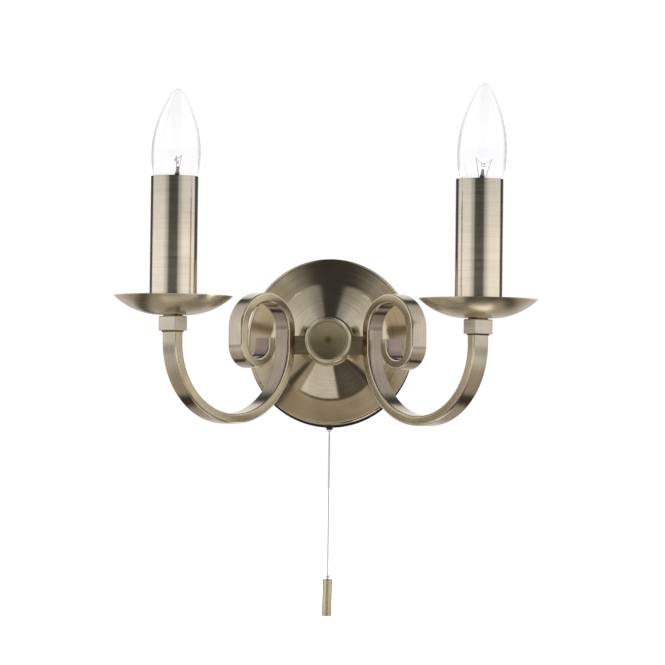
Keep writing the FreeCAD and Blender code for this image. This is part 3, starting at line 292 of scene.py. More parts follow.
def build_lamp(name, place, facing, length, width, radiance, in_brass):
    """A soft box or a card as an area lamp that the camera never sees, and brass only where asked."""
    data = bpy.data.lights.new(name, "AREA")
    data.shape = "RECTANGLE"
    data.size = length
    data.size_y = width
    data.energy = radiance * math.pi * length * width
    box = bpy.data.objects.new(name, data)
    bpy.context.scene.collection.objects.link(box)
    turn = Vector(facing).to_track_quat("-Z", "Y").to_matrix().to_4x4()
    box.matrix_world = Matrix.Translation(place) @ turn
    box.visible_camera = False
    box.visible_transmission = False
    box.visible_glossy = in_brass


for side, sign in SIDES:
    build_lamp(f"soft_box_{side}", Vector((sign * LAMP_X, LAMP_Y, LAMP_LIFT)), (-sign, 0.0, 0.0), LAMP_LENGTH,
               LAMP_TALL, LAMP_RADIANCE, False)
for name, (x, y, length, radiance) in CARDS.items():
    build_lamp(name, Vector((x, y, CARD_HEIGHT)), UP, length, CARD_WIDTH, radiance, True)
    print(name, "in millimetres:", round(length / MM), "by", round(CARD_WIDTH / MM))

# %% [markdown]
# ## The floor
#
# A studio lays a sheet of paper that curves up behind the piece, plain white to the eye. Here a flat sheet
# does, because the camera sees no corner. Near the light it keeps the shadow, and further out it glows up to
# white like the world. In the brass the same paper is painted darker, as painted shade: in the middle it lies in
# the light's own shade, and at the sides it ends before the boxes start. A painted shadow, a dark oval, and two
# dark bands of painted shade, shown to reflections alone, stand for that. They give the canopy's cone its dark
# wedges and the arms their dark lower edges.

# %% The paper's middle, as the brass sees it: painted shade and a painted shadow
PAPER = "#F4F4F4"
# Painted shade: the paper as reflections see it is darker, and darkest in a painted shadow under the light.
PAPER_SHADED_IN_BRASS = "#C9BFB2"
PAINTED_SHADOW_UNDER = "#565048"
OVAL_SQUEEZE = (0.7, 1.0, 0.0)
OVAL_MIDDLE = (0.03, -0.16, 0.0)  # in squeezed places
OVAL_EDGE = (0.12, 0.18)
OVAL_FADE = (0.3, 0.7)


def paper_middle_painted_shade(tree, place):
    """Painted shadow: a dark oval below and before the canopy, then pale brown painted shade, then white further
    out.
    """
    oval = add(tree, "VectorMath", (place, OVAL_SQUEEZE), operation="MULTIPLY").outputs[0]
    from_middle = add(tree, "VectorMath", (oval, OVAL_MIDDLE), operation="DISTANCE").outputs["Value"]
    clear = add(tree, "MapRange", (from_middle, *OVAL_EDGE, 0.0, 1.0), **SMOOTH).outputs[0]
    near = add(tree, "Mix", {"Factor": clear, 6: linear(PAINTED_SHADOW_UNDER), 7: linear(PAPER_SHADED_IN_BRASS)}, **TINT)
    faded = add(tree, "MapRange", (from_middle, *OVAL_FADE, 0.0, 1.0), **SMOOTH).outputs[0]
    return add(tree, "Mix", {"Factor": faded, 6: near.outputs[2], 7: linear(PAPER)}, **TINT).outputs[2]


# %% The paper's sides, as the brass sees them: painted shade
# Painted shade: a dark band at each side of the paper, seen in reflections.
PAINTED_DARK_BAND = "#3A3530"
BAND_INNER = (0.22, 0.25)
BAND_OUTER = (0.29, 0.33)
BEHIND_SPAN = (0.12, 0.20)  # behind the right arm the band all but ends
RIGHT_SPAN = (0.0, 0.02)
BEHIND_SHARE = 0.3


def paper_painted_dark_bands(tree, place, colour):
    """The paper with a dark band of painted shade at each side."""
    split = add(tree, "SeparateXYZ", (place,)).outputs
    aside = add(tree, "Math", (split["X"],), operation="ABSOLUTE").outputs[0]
    inner = add(tree, "MapRange", (aside, *BAND_INNER, 0.0, 1.0), **SMOOTH).outputs[0]
    outer = add(tree, "MapRange", (aside, *BAND_OUTER, 1.0, 0.0), **SMOOTH).outputs[0]
    band = add(tree, "Math", (inner, outer), operation="MULTIPLY").outputs[0]
    back = add(tree, "MapRange", (split["Y"], *BEHIND_SPAN, 0.0, 1.0), **SMOOTH).outputs[0]
    right = add(tree, "MapRange", (split["X"], *RIGHT_SPAN, 0.0, 1.0)).outputs[0]
    behind = add(tree, "Math", (back, right), operation="MULTIPLY").outputs[0]
    share = add(tree, "MapRange", (behind, 0.0, 1.0, 1.0, BEHIND_SHARE)).outputs[0]
    shown = add(tree, "Math", (band, share), operation="MULTIPLY").outputs[0]
    return add(tree, "Mix", {"Factor": shown, 6: colour, 7: linear(PAINTED_DARK_BAND)}, **TINT).outputs[2]


# %% Lay the floor
FLOOR_HEIGHT = -0.262
FLOOR_REACH = 12.0
FLOOR_CORNERS = ((-1, -1), (1, -1), (1, 1), (-1, 1))
SHADOW_SPAN = (0.35, 1.1)  # from the light outwards, where the shadow gives way to the glow
NEAR_GLOW = 0.3


def build_floor():
    """A sheet of white paper that keeps the light's shadow."""
    mesh = bpy.data.meshes.new("studio_floor")
    corners = [(x * FLOOR_REACH, y * FLOOR_REACH, FLOOR_HEIGHT) for x, y in FLOOR_CORNERS]
    mesh.from_pydata(corners, [], [(0, 1, 2, 3)])
    floor = bpy.data.objects.new("studio_floor", mesh)
    bpy.context.scene.collection.objects.link(floor)
    # Uncoated paper: white and even, with no shine of its own.
    material, tree, shader = new_finish("white_paper_floor", PAPER, 0.0, 0.9)
    shader.inputs["Emission Color"].default_value = (1.0, 1.0, 1.0, 1.0)
    seen, glossy = ray_kinds(tree)
    place = add(tree, "TexCoord").outputs["Object"]
    reach_out = add(tree, "VectorMath", (place,), operation="LENGTH").outputs["Value"]
    level = add(tree, "MapRange", (reach_out, *SHADOW_SPAN, NEAR_GLOW, 1.0)).outputs[0]
    glow = add(tree, "Math", (seen, level), operation="MULTIPLY").outputs[0]
    tree.links.new(glow, shader.inputs["Emission Strength"])
    in_brass = paper_painted_dark_bands(tree, place, paper_middle_painted_shade(tree, place))
    paper = add(tree, "Mix", {"Factor": glossy, 6: linear(PAPER), 7: in_brass}, **TINT).outputs[2]
    tree.links.new(paper, shader.inputs["Base Color"])
    mesh.materials.append(material)


build_floor()
print("floor below the hub in millimetres:", round(-FLOOR_HEIGHT / MM))

# %% [markdown]
# ## Brush lines
#
# The brass is spun, turned or drawn, and then brushed with a fine abrasive. The brush runs round the axis on
# spun and turned pieces and along the bar on the arms. An image of scratches would need unwrapped surfaces,
# so the lines are noise, stretched: fine across the brush and slow along it. Round an axis the slow way uses
# the two flat coordinates and not the angle, because an angle starts and ends at a seam. Real lines are about
# 0.1 mm apart, too fine for this picture, so they are drawn 0.7 mm apart.

# %% Noise along the brush
BRUSH_PITCH = 0.7 * MM
STROKES_PER_METRE = 18.0  # a stroke shows for about 56 mm before it fades into the next


def line_noise(tree, across, first, second):
    """Noise that is fine by one coordinate and slow by two others, in metres."""
    fine = add(tree, "Math", (across, 1 / BRUSH_PITCH), operation="MULTIPLY").outputs[0]
    slow = [add(tree, "Math", (coordinate, STROKES_PER_METRE), operation="MULTIPLY").outputs[0]
            for coordinate in (first, second)]
    line = add(tree, "CombineXYZ", (fine, *slow)).outputs[0]
    noise = add(tree, "TexNoise", {"Vector": line, "Scale": 1.0, "Detail": 3.0, "Roughness": 0.6})
    return noise.outputs["Fac"]


def ring_lines(tree, place, axis, centre):
    """Brush lines round an axis, with the distance from the axis and the place along it."""
    moved = add(tree, "VectorMath", (place, centre), operation="SUBTRACT").outputs[0]
    split = add(tree, "SeparateXYZ", (moved,)).outputs
    first, second, along = [split[letter] for letter in ("XZY" if axis == "Y" else "XYZ")]
    flat = add(tree, "CombineXYZ", (first, second)).outputs[0]
    distance = add(tree, "VectorMath", (flat,), operation="LENGTH").outputs["Value"]
    across = add(tree, "Math", (distance, along), operation="ADD").outputs[0]
    return line_noise(tree, across, first, second), distance, along


def bar_lines(tree, place, across_way):
    """Brush lines along a bent bar, whose width runs in one direction all the way."""
    width = add(tree, "VectorMath", (place, across_way), operation="DOT_PRODUCT").outputs["Value"]
    split = add(tree, "SeparateXYZ", (place,)).outputs
    return line_noise(tree, width, split["X"], split["Z"])


print("brush strokes in millimetres:", round(BRUSH_PITCH / MM, 1), "by", round(1 / STROKES_PER_METRE / MM))

# %% [markdown]
# ## Stain, painted highlight and painted shade
#
# Antique brass is dipped to go brown, rubbed back and lacquered. The stain stays in patches a few
# centimetres wide and in the brush lines. On an arm, the long rounded edges get a painted highlight, paler
# than the broad faces, and the faces inside a scroll get painted shade, a duller brown. A painted map could
# show that, but places and directions say it as well and need no unwrapping: a surface's own normal tells
# edge from face, and the scroll's middle tells which faces look inwards.

# %% Stain in patches and lines
STAIN_SPAN = 22.0 * MM
STAIN_LEVELS = (0.36, 0.62)


def stain(tree, place, lines, light, dark):
    """The metal's colour between rubbed and stained, in patches that follow the brush lines."""
    patches = add(tree, "TexNoise", {"Vector": place, "Scale": 1 / STAIN_SPAN, "Detail": 3.0}).outputs["Fac"]
    both = add(tree, "Mix", {"Factor": 0.5, 2: patches, 3: lines}, data_type="FLOAT").outputs[0]
    amount = add(tree, "MapRange", (both, *STAIN_LEVELS, 0.0, 1.0)).outputs[0]
    return add(tree, "Mix", {"Factor": amount, 6: linear(dark), 7: linear(light)}, **TINT).outputs[2]


# %% Painted highlight on an arm's edges
# A slope is how much of a surface's normal lies across the bar: 0 on the broad faces, 1 on the narrow ones.
BROAD_SLOPE = (0.5, 0.2)
EDGE_SLOPE = (0.3, 0.55)
EDGE_END = (0.9, 0.98)
NARROW_SLOPE = (0.95, 0.99)
BROAD_TONE = "#F1ECEC"
NARROW_TONE = "#ECE5D6"


def tone_bar_and_highlight_edges(tree, colour, normal, across_way, edge_highlight):
    """A bar with slightly darker faces and a painted highlight on its rounded edges."""
    side_on = add(tree, "VectorMath", (normal, across_way), operation="DOT_PRODUCT").outputs["Value"]
    slope = add(tree, "Math", (side_on,), operation="ABSOLUTE").outputs[0]
    broad = add(tree, "MapRange", (slope, *BROAD_SLOPE, 0.0, 1.0), **SMOOTH).outputs[0]
    colour = add(tree, "Mix", {"Factor": broad, 6: colour, 7: linear(BROAD_TONE)}, **SHADE).outputs[2]
    start = add(tree, "MapRange", (slope, *EDGE_SLOPE, 0.0, 1.0), **SMOOTH).outputs[0]
    end = add(tree, "MapRange", (slope, *EDGE_END, 1.0, 0.0), **SMOOTH).outputs[0]
    edge = add(tree, "Math", (start, end), operation="MULTIPLY").outputs[0]
    colour = add(tree, "Mix", {"Factor": edge, 6: colour, 7: linear(edge_highlight)}, **TINT).outputs[2]
    narrow = add(tree, "MapRange", (slope, *NARROW_SLOPE, 0.0, 1.0), **SMOOTH).outputs[0]
    return add(tree, "Mix", {"Factor": narrow, 6: colour, 7: linear(NARROW_TONE)}, **SHADE).outputs[2]


# %% Painted shade inside the scroll
SCROLL_FACING = (0.1, 0.5)
SCROLL_REACH = (14.0 * MM, 48.0 * MM)
SCROLL_PAINTED_SHADE = "#BBB0B8"


def shade_scroll_inside(tree, colour, normal, place, middle):
    """Painted shade: a duller brown on the faces that look at the scroll's middle, fading with the distance from
    it.
    """
    inwards = add(tree, "VectorMath", (middle, place), operation="SUBTRACT").outputs[0]
    away = add(tree, "VectorMath", (inwards,), operation="LENGTH").outputs["Value"]
    aim = add(tree, "VectorMath", (inwards,), operation="NORMALIZE").outputs[0]
    facing_in = add(tree, "VectorMath", (normal, aim), operation="DOT_PRODUCT").outputs["Value"]
    turned = add(tree, "MapRange", (facing_in, *SCROLL_FACING, 0.0, 1.0), **SMOOTH).outputs[0]
    close = add(tree, "MapRange", (away, *SCROLL_REACH, 1.0, 0.0)).outputs[0]
    inside = add(tree, "Math", (turned, close), operation="MULTIPLY").outputs[0]
    return add(tree, "Mix", {"Factor": inside, 6: colour, 7: linear(SCROLL_PAINTED_SHADE)}, **SHADE).outputs[2]


# %% [markdown]
# ## Antique brass
#
# To the eye this finish is a pale metal with brown in its shadows and reflections smeared across the brush
# lines. The smear could come from a strong bump alone, but that sparkles at this distance, so the shader's
# anisotropy does it: its tangent is radial, and the quarter turn lays the smear across the rings. A metal
# keeps the default IOR, since its colour comes from the base colour. The tones darken, warm or cool a piece
# by the distance from its axis or the place along it, where the photograph shows that.

# %% A brass finish
BRUSH_DEPTH = 0.02 * MM
LINE_LEVELS = (0.3, 0.7)
ROUGHER, SMOOTHER = 1.15, 0.85
GLANCING = (0.3, 0.6)


def finish_brass(name, light, dark, roughness, axis=None, centre=(0.0, 0.0, 0.0), across=None, smear=0.6,
                 lift=0.08, tones=(), edge_highlight=None, scroll=None, edge_painted_shade=None):
    """Antique brass; its brush lines run round an axis or along a bar, and tones shade it by place."""
    material, tree, shader = new_finish(name, light, 1.0, roughness)
    place = add(tree, "TexCoord").outputs["Object"]
    if axis:
        lines, distance, along = ring_lines(tree, place, axis, centre)
        shader.inputs["Anisotropic"].default_value = smear
        shader.inputs["Anisotropic Rotation"].default_value = 0.25
        tangent = add(tree, "Tangent", direction_type="RADIAL", axis=axis).outputs[0]
        tree.links.new(tangent, shader.inputs["Tangent"])
    else:
        lines = bar_lines(tree, place, across)
    colour = stain(tree, place, lines, light, dark)
    for measure, start, end, tone in tones:
        reach = distance if measure == "distance" else along
        part = add(tree, "MapRange", (reach, start * MM, end * MM, 0.0, 1.0), **SMOOTH).outputs[0]
        colour = add(tree, "Mix", {"Factor": part, 6: colour, 7: linear(tone)}, **SHADE).outputs[2]
    if edge_highlight:
        normal = add(tree, "NewGeometry").outputs["Normal"]
        # Painted highlight on the rounded edges; the broad and narrow faces a little darker.
        colour = tone_bar_and_highlight_edges(tree, colour, normal, across, edge_highlight)
        # Painted shade on the faces inside the scroll.
        colour = shade_scroll_inside(tree, colour, normal, place, scroll)
    # Painted shade: the colour darkens where the surface is seen edge on.
    if edge_painted_shade:
        facing = add(tree, "LayerWeight", {"Blend": 0.5}).outputs["Facing"]
        part = add(tree, "MapRange", (facing, *GLANCING, 0.0, 1.0), **SMOOTH).outputs[0]
        colour = add(tree, "Mix", {"Factor": part, 6: colour, 7: linear(edge_painted_shade)}, **SHADE).outputs[2]
    tree.links.new(colour, shader.inputs["Base Color"])
    grip = add(tree, "MapRange", (lines, *LINE_LEVELS, roughness * SMOOTHER, roughness * ROUGHER)).outputs[0]
    tree.links.new(grip, shader.inputs["Roughness"])
    bump = add(tree, "Bump", {"Height": lines, "Strength": lift, "Distance": BRUSH_DEPTH}).outputs[0]
    tree.links.new(bump, shader.inputs["Normal"])
    return material


# %% [markdown]
# ## A brass for each piece
#
# So they share the function and differ in its numbers: the two colours are the rubbed and the stained metal,
# and the roughness says how far the brush dulled it.

# %% Brass on the hub and the toggle
finishes = {
    # Spun from sheet: soft wedges of light across fine rings.
    "canopy": finish_brass("spun_antique_brass", "#DBD0B9", "#BFB195", 0.17, "Y", smear=0.75,
                           tones=[("distance", 38.0, 48.0, "#FBF7F1")]),
    # Turned, then brushed: duller and more golden, with stain round the face and in its middle.
    "front_cap": finish_brass("turned_antique_brass", "#FFF6DE", "#DACFAF", 0.32, "Y", lift=0.3,
                              tones=[("distance", 14.6, 13.8, "#C0B8A6"), ("distance", 4.0, 1.0, "#B8B0A2")]),
    # Painted shade: the crossbar lies in the shade of the cap and arms, so its brass is the darkest and dullest.
    "crossbar": finish_brass("shaded_antique_brass", "#A99C82", "#8B7A5C", 0.3, across=UP),
    # Turned from rod and polished: bright, with painted shade that darkens its sides where they turn away from
    # view.
    "pull_toggle": finish_brass("turned_toggle_brass", "#E9DAB9", "#D2C19A", 0.2, "Z", (0.0, CORD_DEPTH, 0.0),
                                lift=0.02, edge_painted_shade="#857A68"),
}
print("brass on the hub and the toggle:", list(finishes))

# %% [markdown]
# ## Brass on the arms
#
# Each arm carries a candle on an upright axis, which the tube and the pan were turned and spun about, so the
# axis of their brush lines is measured from the tube's own box. The arms are drawn bars, bent to their
# scrolls and set 45 degrees out from the wall, and their brush lines run along them.

# %% Brass on both arms
ARM_ANGLE = math.radians(45.0)
SCROLL_X, SCROLL_Y, SCROLL_Z = 50.0 * MM, -60.0 * MM, -2.0 * MM  # the scroll's middle
# Painted shade on a tube starts this far up.
TOP_SHADE_START = 40.0  # millimetres above the tube's foot


def candle_axis(side):
    """The middle of one candle tube, and the heights of its foot and top."""
    low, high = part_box(f"candle_tube_{side}")
    return (low + high) / 2, low.z, high.z


for side, sign in SIDES:
    middle, tube_foot, tube_top = candle_axis(side)
    axis_point = (middle.x, middle.y, 0.0)
    # Turned and polished: the sharpest reflections, with painted shade that darkens and cools it towards the top.
    finishes[f"candle_tube_{side}"] = finish_brass(
        f"turned_tube_brass_{side}", "#F0E6D3", "#E0D3BC", 0.16, "Z", axis_point,
        tones=[("along", tube_foot / MM + TOP_SHADE_START, tube_top / MM, "#DEE0E2")])
    # Spun thin: paler and softer; all but the rim is a little darker, which leaves a painted highlight on the
    # rim.
    finishes[f"drip_pan_{side}"] = finish_brass(
        f"spun_pan_brass_{side}", "#F7F1E4", "#DDD4BE", 0.26, "Z", axis_point, smear=0.5,
        tones=[("distance", 41.6, 40.8, "#DDD6C8")])
    # Drawn and bent: broad faces slightly darker, rounded edges with a painted highlight, and painted shade
    # inside the scroll.
    across_bar = (math.sin(ARM_ANGLE), sign * math.cos(ARM_ANGLE), 0.0)
    finishes[f"arm_{side}"] = finish_brass(
        f"drawn_antique_brass_{side}", "#DED6C0", "#BCB29D", 0.16, across=across_bar, edge_highlight="#F6EBD2",
        scroll=(sign * SCROLL_X, SCROLL_Y, SCROLL_Z))
    # Milled: flat faces, even and a little dull.
    finishes[f"collar_{side}"] = finish_brass(
        f"milled_antique_brass_{side}", "#D4CAB9", "#C4B9A6", 0.22, across=UP)
print("brass finishes:", len(finishes))

# %% [markdown]
# ## The other solids
#
# Inside the lamp are ordinary trade parts, each in its usual material. They hardly show, so each finish is a
# typical colour and gloss with the small unevenness that its making leaves. One noise does for all of them,
# because they differ only in the size of the grain. Real mould and plating grain is a tenth of these sizes
# and wouldn't show at all, so it is drawn as coarse as the numbers say, in millimetres.

# %% A grained finish
GRAIN_DEPTH = 0.03 * MM


def finish_grained(name, colour, metallic, roughness, grain_mm, lift=0.1, spread=0.85):
    """A plain material whose surface keeps the fine grain of its mould, plating or rolling."""
    material, tree, shader = new_finish(name, colour, metallic, roughness)
    place = add(tree, "TexCoord").outputs["Object"]
    grain = add(tree, "TexNoise", {"Vector": place, "Scale": 1 / (grain_mm * MM), "Detail": 3.0}).outputs["Fac"]
    darker = tuple(channel * spread for channel in linear(colour)[:3]) + (1.0,)
    tint = add(tree, "Mix", {"Factor": grain, 6: darker, 7: linear(colour)}, **TINT).outputs[2]
    tree.links.new(tint, shader.inputs["Base Color"])
    bump = add(tree, "Bump", {"Height": grain, "Strength": lift, "Distance": GRAIN_DEPTH}).outputs[0]
    tree.links.new(bump, shader.inputs["Normal"])
    return material


# %% Finishes of the inner parts and the cord
slot_finishes = {
    # Turned and left bright: yellow, with soft narrow highlights.
    "plain_brass": finish_grained("bright_turned_brass", "#D9B872", 1.0, 0.28, 0.8),
    # Powder baked on sheet steel: black, its shine broken by a slight ripple.
    "black_steel": finish_grained("black_powder_coat", "#1B1A19", 0.0, 0.5, 0.5, 0.25),
    # Phenolic moulded hard against steel: black and even, with a low shine.
    "black_plastic": finish_grained("black_moulded_phenolic", "#1A1918", 0.0, 0.35, 0.4),
    # Rubber from a rough mould: black, with almost no shine.
    "black_rubber": finish_grained("black_rubber", "#161616", 0.0, 0.8, 0.6, 0.2),
    # Nylon from a plain mould: a warm white with a silky surface.
    "white_nylon": finish_grained("white_moulded_nylon", "#ECE9E0", 0.0, 0.45, 0.5),
    # Zinc on rolled steel: a cool grey metal, faintly clouded.
    "zinc_steel": finish_grained("zinc_plated_steel", "#C5C8CA", 1.0, 0.3, 0.7),
    # Nickel on pressed brass: a pale warm grey, clearer than zinc.
    "nickel_brass": finish_grained("nickel_plated_brass", "#C9C5BB", 1.0, 0.25, 0.6),
    # Glass fired black in the lamp's cap: deep and glossy.
    "black_glass": finish_grained("black_fired_glass", "#0E0D0F", 0.0, 0.12, 0.9),
    # Drawn nickel wire, warmed by use: a brownish grey metal.
    "filament_wire": finish_grained("drawn_nickel_wire", "#8A7672", 1.0, 0.35, 0.3),
    # Extruded PVC: brown, smooth and half glossy.
    "wire_insulation": finish_grained("brown_pvc_insulation", "#6A4A33", 0.0, 0.5, 0.8),
    # Braided cotton, each strand 0.3 mm: dull off-white, with a fine relief.
    "white_cord": finish_grained("white_cotton_braid", "#D6D5D4", 0.0, 0.85, 0.3, 0.5, 0.8),
}
cord.data.materials.append(slot_finishes["white_cord"])
print("other finishes:", len(slot_finishes))

# %% [markdown]
# ## Clear glass
#
# The lamps are soda-lime glass, blown thin and fire-polished, so nothing is drawn on the surface and its
# roughness is nought. On a white ground clear glass would vanish. The eye finds it by its edge, where it
# looks through far more glass, and a tint there stands for that: Layer Weight gives the angle at which the
# surface is seen.

# %% Blown glass
GLASS_IOR = 1.5
GLASS_EDGE = (0.62, 0.90)


def finish_glass(name, clear, edge, roughness):
    """Clear blown glass; seen edge on, its wall is thicker and takes a little of the light."""
    material, tree, shader = new_finish(name, clear, 0.0, roughness)
    shader.inputs["Transmission Weight"].default_value = 1.0
    shader.inputs["IOR"].default_value = GLASS_IOR
    facing = add(tree, "LayerWeight", {"Blend": 0.5}).outputs["Facing"]
    part = add(tree, "MapRange", (facing, *GLASS_EDGE, 0.0, 1.0), **SMOOTH).outputs[0]
    tint = add(tree, "Mix", {"Factor": part, 6: linear(clear), 7: linear(edge)}, **TINT).outputs[2]
    tree.links.new(tint, shader.inputs["Base Color"])
    return material


slot_finishes["clear_glass"] = finish_glass("clear_blown_glass", "#FEFEFF", "#BCC5D0", 0.0)
print("glass, index of refraction:", GLASS_IOR)

# %% [markdown]
# ## The candle lamps
#
# A candle lamp is a blown envelope with a long tip, fused at its neck to a glass mount. Two nickel wires
# come up through the mount's pinch, spread, and hold a hair-thin coiled filament, which a support with a
# small loop steadies. The envelope is turned from a profile. A thick solid would bend the picture like a
# lens, so Solidify gives it a wall, and subdivision then smooths it, because clear glass shows every flat.

# %% Turn a profile
GLASS_TURNS = 64
ENVELOPE_WALL = 0.9 * MM
ENVELOPE = [(6.4, 94.6), (6.5, 97.4), (7.7, 100.9), (10.9, 106.2), (14.3, 111.7), (16.6, 118.4), (17.5, 127.7),
            (17.3, 137.7), (15.9, 147.2), (13.5, 156.6), (10.3, 165.0), (7.5, 171.2), (5.2, 175.9), (3.5, 178.6),
            (1.6, 180.1), (0.0, 180.4)]
MOUNT = [(5.6, 95.4), (4.3, 97.0), (3.5, 101.5), (2.9, 107.5), (2.3, 112.0), (1.6, 115.2), (0.9, 117.2),
         (0.55, 119.5), (0.5, 121.0), (0.0, 121.3)]
PINCH = [(0.0, 113.2), (0.9, 113.5), (1.2, 115.0), (1.1, 117.6), (0.8, 119.4), (0.0, 119.7)]


def turn_profile(name, profile, centre):
    """A mesh turned round an upright axis from radius and height in millimetres, closed where the radius is 0."""
    shape = bmesh.new()
    rings = []
    for radius, height in profile:
        if radius == 0.0:
            rings.append([shape.verts.new((centre[0], centre[1], height * MM))])
            continue
        rings.append([shape.verts.new((centre[0] + radius * MM * math.cos(math.tau * step / GLASS_TURNS),
                                       centre[1] + radius * MM * math.sin(math.tau * step / GLASS_TURNS),
                                       height * MM)) for step in range(GLASS_TURNS)])
    for low, high in zip(rings, rings[1:]):
        for step in range(GLASS_TURNS):
            after = (step + 1) % GLASS_TURNS
            corners = [low[step], low[after]] if len(low) > 1 else [low[0]]
            corners += [high[after], high[step]] if len(high) > 1 else [high[0]]
            shape.faces.new(corners)
    mesh = bpy.data.meshes.new(name)
    shape.to_mesh(mesh)
    shape.free()
    for face in mesh.polygons:
        face.use_smooth = True
    thing = bpy.data.objects.new(name, mesh)
    bpy.context.scene.collection.objects.link(thing)
    return thing


def subdivide(thing, levels):
    """Smooth a turned piece by subdivision."""
    smooth = thing.modifiers.new("smooth", "SUBSURF")
    smooth.levels = levels
    smooth.render_levels = levels


print("envelope in millimetres:", 2 * max(radius for radius, height in ENVELOPE), "wide")

# %% [markdown]
# ## Leads, filament and lean
#
# No two lamps stand alike. Each one's wire plane is turned as its thread happened to stop, the mounts tip a
# few degrees in their necks, and the envelopes lean a little to the right in their holders. The left lamp
# reaches less high in the picture, so its envelope is drawn 7 % shorter. The lean is put into the mesh
# itself and not into the object, so that every object stays at the origin of the shared frame.

# %% Places inside a lamp
WIRE_PLANES = {"left": math.radians(112.0), "right": math.radians(8.0)}
STRETCHES = {"left": 0.93, "right": 1.0}
LEANS = {"left": math.radians(1.0), "right": math.radians(1.9)}
LEAN_DROP = 24.0 * MM
MOUNT_LEAN = math.radians(5.0)
MOUNT_FOOT = 95.0 * MM


def lean(thing, pivot, angle):
    """Tip a piece to the right about a point, in its own points, so that the object stays at the origin."""
    turn = Matrix.Translation(pivot) @ Matrix.Rotation(angle, 4, "Y") @ Matrix.Translation(-pivot)
    thing.data.transform(turn)


def lamp_point(centre, turn, out, depth, height):
    """A point of the lamp's inside: out along its wire plane, depth across it, height, in millimetres."""
    x = out * math.cos(turn) - depth * math.sin(turn)
    y = out * math.sin(turn) + depth * math.cos(turn)
    return (centre.x + x * MM, centre.y + y * MM, height * MM)


# %% Lines of the leads, the filament and the support
# Reaches out from the mount's axis and heights are in millimetres, as in the profiles.
WIRE_RADIUS = 0.2 * MM
LEAD = ((1.3, 100.0), (1.6, 108.0), (2.5, 114.0), (4.0, 121.0), (5.6, 127.0))
COIL_REACH, COIL_HEIGHT = LEAD[-1]
COIL_SAG = 3.4
COIL_BOW = 2.6
COIL_RADIUS = 0.35
COIL_WIRE = 0.05 * MM
COIL_TURNS = 26
COIL_STEPS = 6
LOOP_RADIUS = 1.25
LOOP_HEIGHT = 122.4
LOOP_DEPTH = 0.4
LOOP_STEPS = 12


def lead_lines(centre, turn):
    """Both leads, from the mount up to the filament's ends."""
    return [[lamp_point(centre, turn, way * reach, 0.0, height) for reach, height in LEAD] for way in (-1.0, 1.0)]


def coil_line(centre, turn):
    """The filament's coil, which sags and bows between the leads."""
    line = []
    for step in range(COIL_TURNS * COIL_STEPS + 1):
        part = step / (COIL_TURNS * COIL_STEPS)
        swing = math.tau * step / COIL_STEPS
        middle = math.sin(math.pi * part)
        line.append(lamp_point(centre, turn, COIL_REACH * (2 * part - 1),
                               COIL_BOW * middle + COIL_RADIUS * math.cos(swing),
                               COIL_HEIGHT - COIL_SAG * middle + COIL_RADIUS * math.sin(swing)))
    return line


def loop_line(centre, turn):
    """The support's small loop."""
    swings = [math.tau * step / LOOP_STEPS for step in range(LOOP_STEPS + 1)]
    return [lamp_point(centre, turn, LOOP_RADIUS * math.sin(swing), LOOP_DEPTH,
                       LOOP_HEIGHT - LOOP_RADIUS * math.cos(swing)) for swing in swings]


# %% Make both lamps
lamp_pieces = []
for side, _ in SIDES:
    centre, _, tube_top = candle_axis(side)
    turn = WIRE_PLANES[side]
    foot = ENVELOPE[0][1]
    blown = [(radius, foot + (height - foot) * STRETCHES[side]) for radius, height in ENVELOPE]
    envelope = turn_profile(f"blown_envelope_{side}", blown, centre)
    wall = envelope.modifiers.new("wall", "SOLIDIFY")
    wall.thickness = ENVELOPE_WALL
    wall.offset = -1.0
    subdivide(envelope, 2)
    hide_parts(f"lamp_glass_{side}")
    lean(envelope, Vector((centre.x, centre.y, tube_top - LEAN_DROP)), LEANS[side])

    mount = turn_profile(f"glass_mount_{side}", MOUNT, centre)
    subdivide(mount, 1)
    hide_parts(f"lamp_stem_{side}")
    wires = lay_lines(f"nickel_leads_{side}", lead_lines(centre, turn), WIRE_RADIUS)
    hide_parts(f"lamp_filament_{side}")
    filament = lay_lines(f"tungsten_coil_{side}", [coil_line(centre, turn)], COIL_WIRE)
    support = lay_lines(f"support_loop_{side}", [loop_line(centre, turn)], WIRE_RADIUS)
    pinch = turn_profile(f"mount_pinch_{side}", PINCH, centre)
    for piece in (mount, pinch, wires, filament, support):
        lean(piece, Vector((centre.x, centre.y, MOUNT_FOOT)), MOUNT_LEAN)
    for piece in (envelope, mount, pinch, wires, filament, support):
        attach(piece, "fixture")
    lamp_pieces += [(envelope, "clear_glass"), (mount, "clear_glass"), (pinch, "filament_wire"),
                    (wires, "filament_wire"), (filament, "filament_wire"), (support, "filament_wire")]
for piece, slot_name in lamp_pieces:
    piece.data.materials.append(slot_finishes[slot_name])
print("lamp pieces:", len(lamp_pieces))

# %% [markdown]
# ## The collars
#
# Each arm ends in a small block, drilled for the bar and filed to a chamfered top with a low oval neck that
# carries the drip pan. A thin dark band where the bar enters is painted shadow. A modelled chamfer on every
# edge is slow work by hand, so the block is a plain cage that Blender bevels, turned to the arm's own angle.
# Its neck and its painted shadow band are part of the same mesh.

# %% Sizes of a collar, in millimetres
COLLAR_ACROSS = 18.2
COLLAR_ALONG = 11.4
COLLAR_BOTTOM = 3.5
COLLAR_TOP = 13.9
COLLAR_BEVEL = 0.7 * MM
NECK = [(0.97, 13.7), (0.95, 14.2), (0.90, 14.5), (0.86, 14.75)]  # shares of the block, and heights
SEAM_ACROSS = 15.3
SEAM_ALONG = 7.3
SEAM_DROP = 0.9
SEAM_RISE = 0.2
BLOCK_CORNERS = ((-1, -1), (1, -1), (1, 1), (-1, 1))
BLOCK_FACES = ((3, 2, 1, 0), (4, 5, 6, 7), (0, 1, 5, 4), (1, 2, 6, 5), (2, 3, 7, 6), (3, 0, 4, 7))


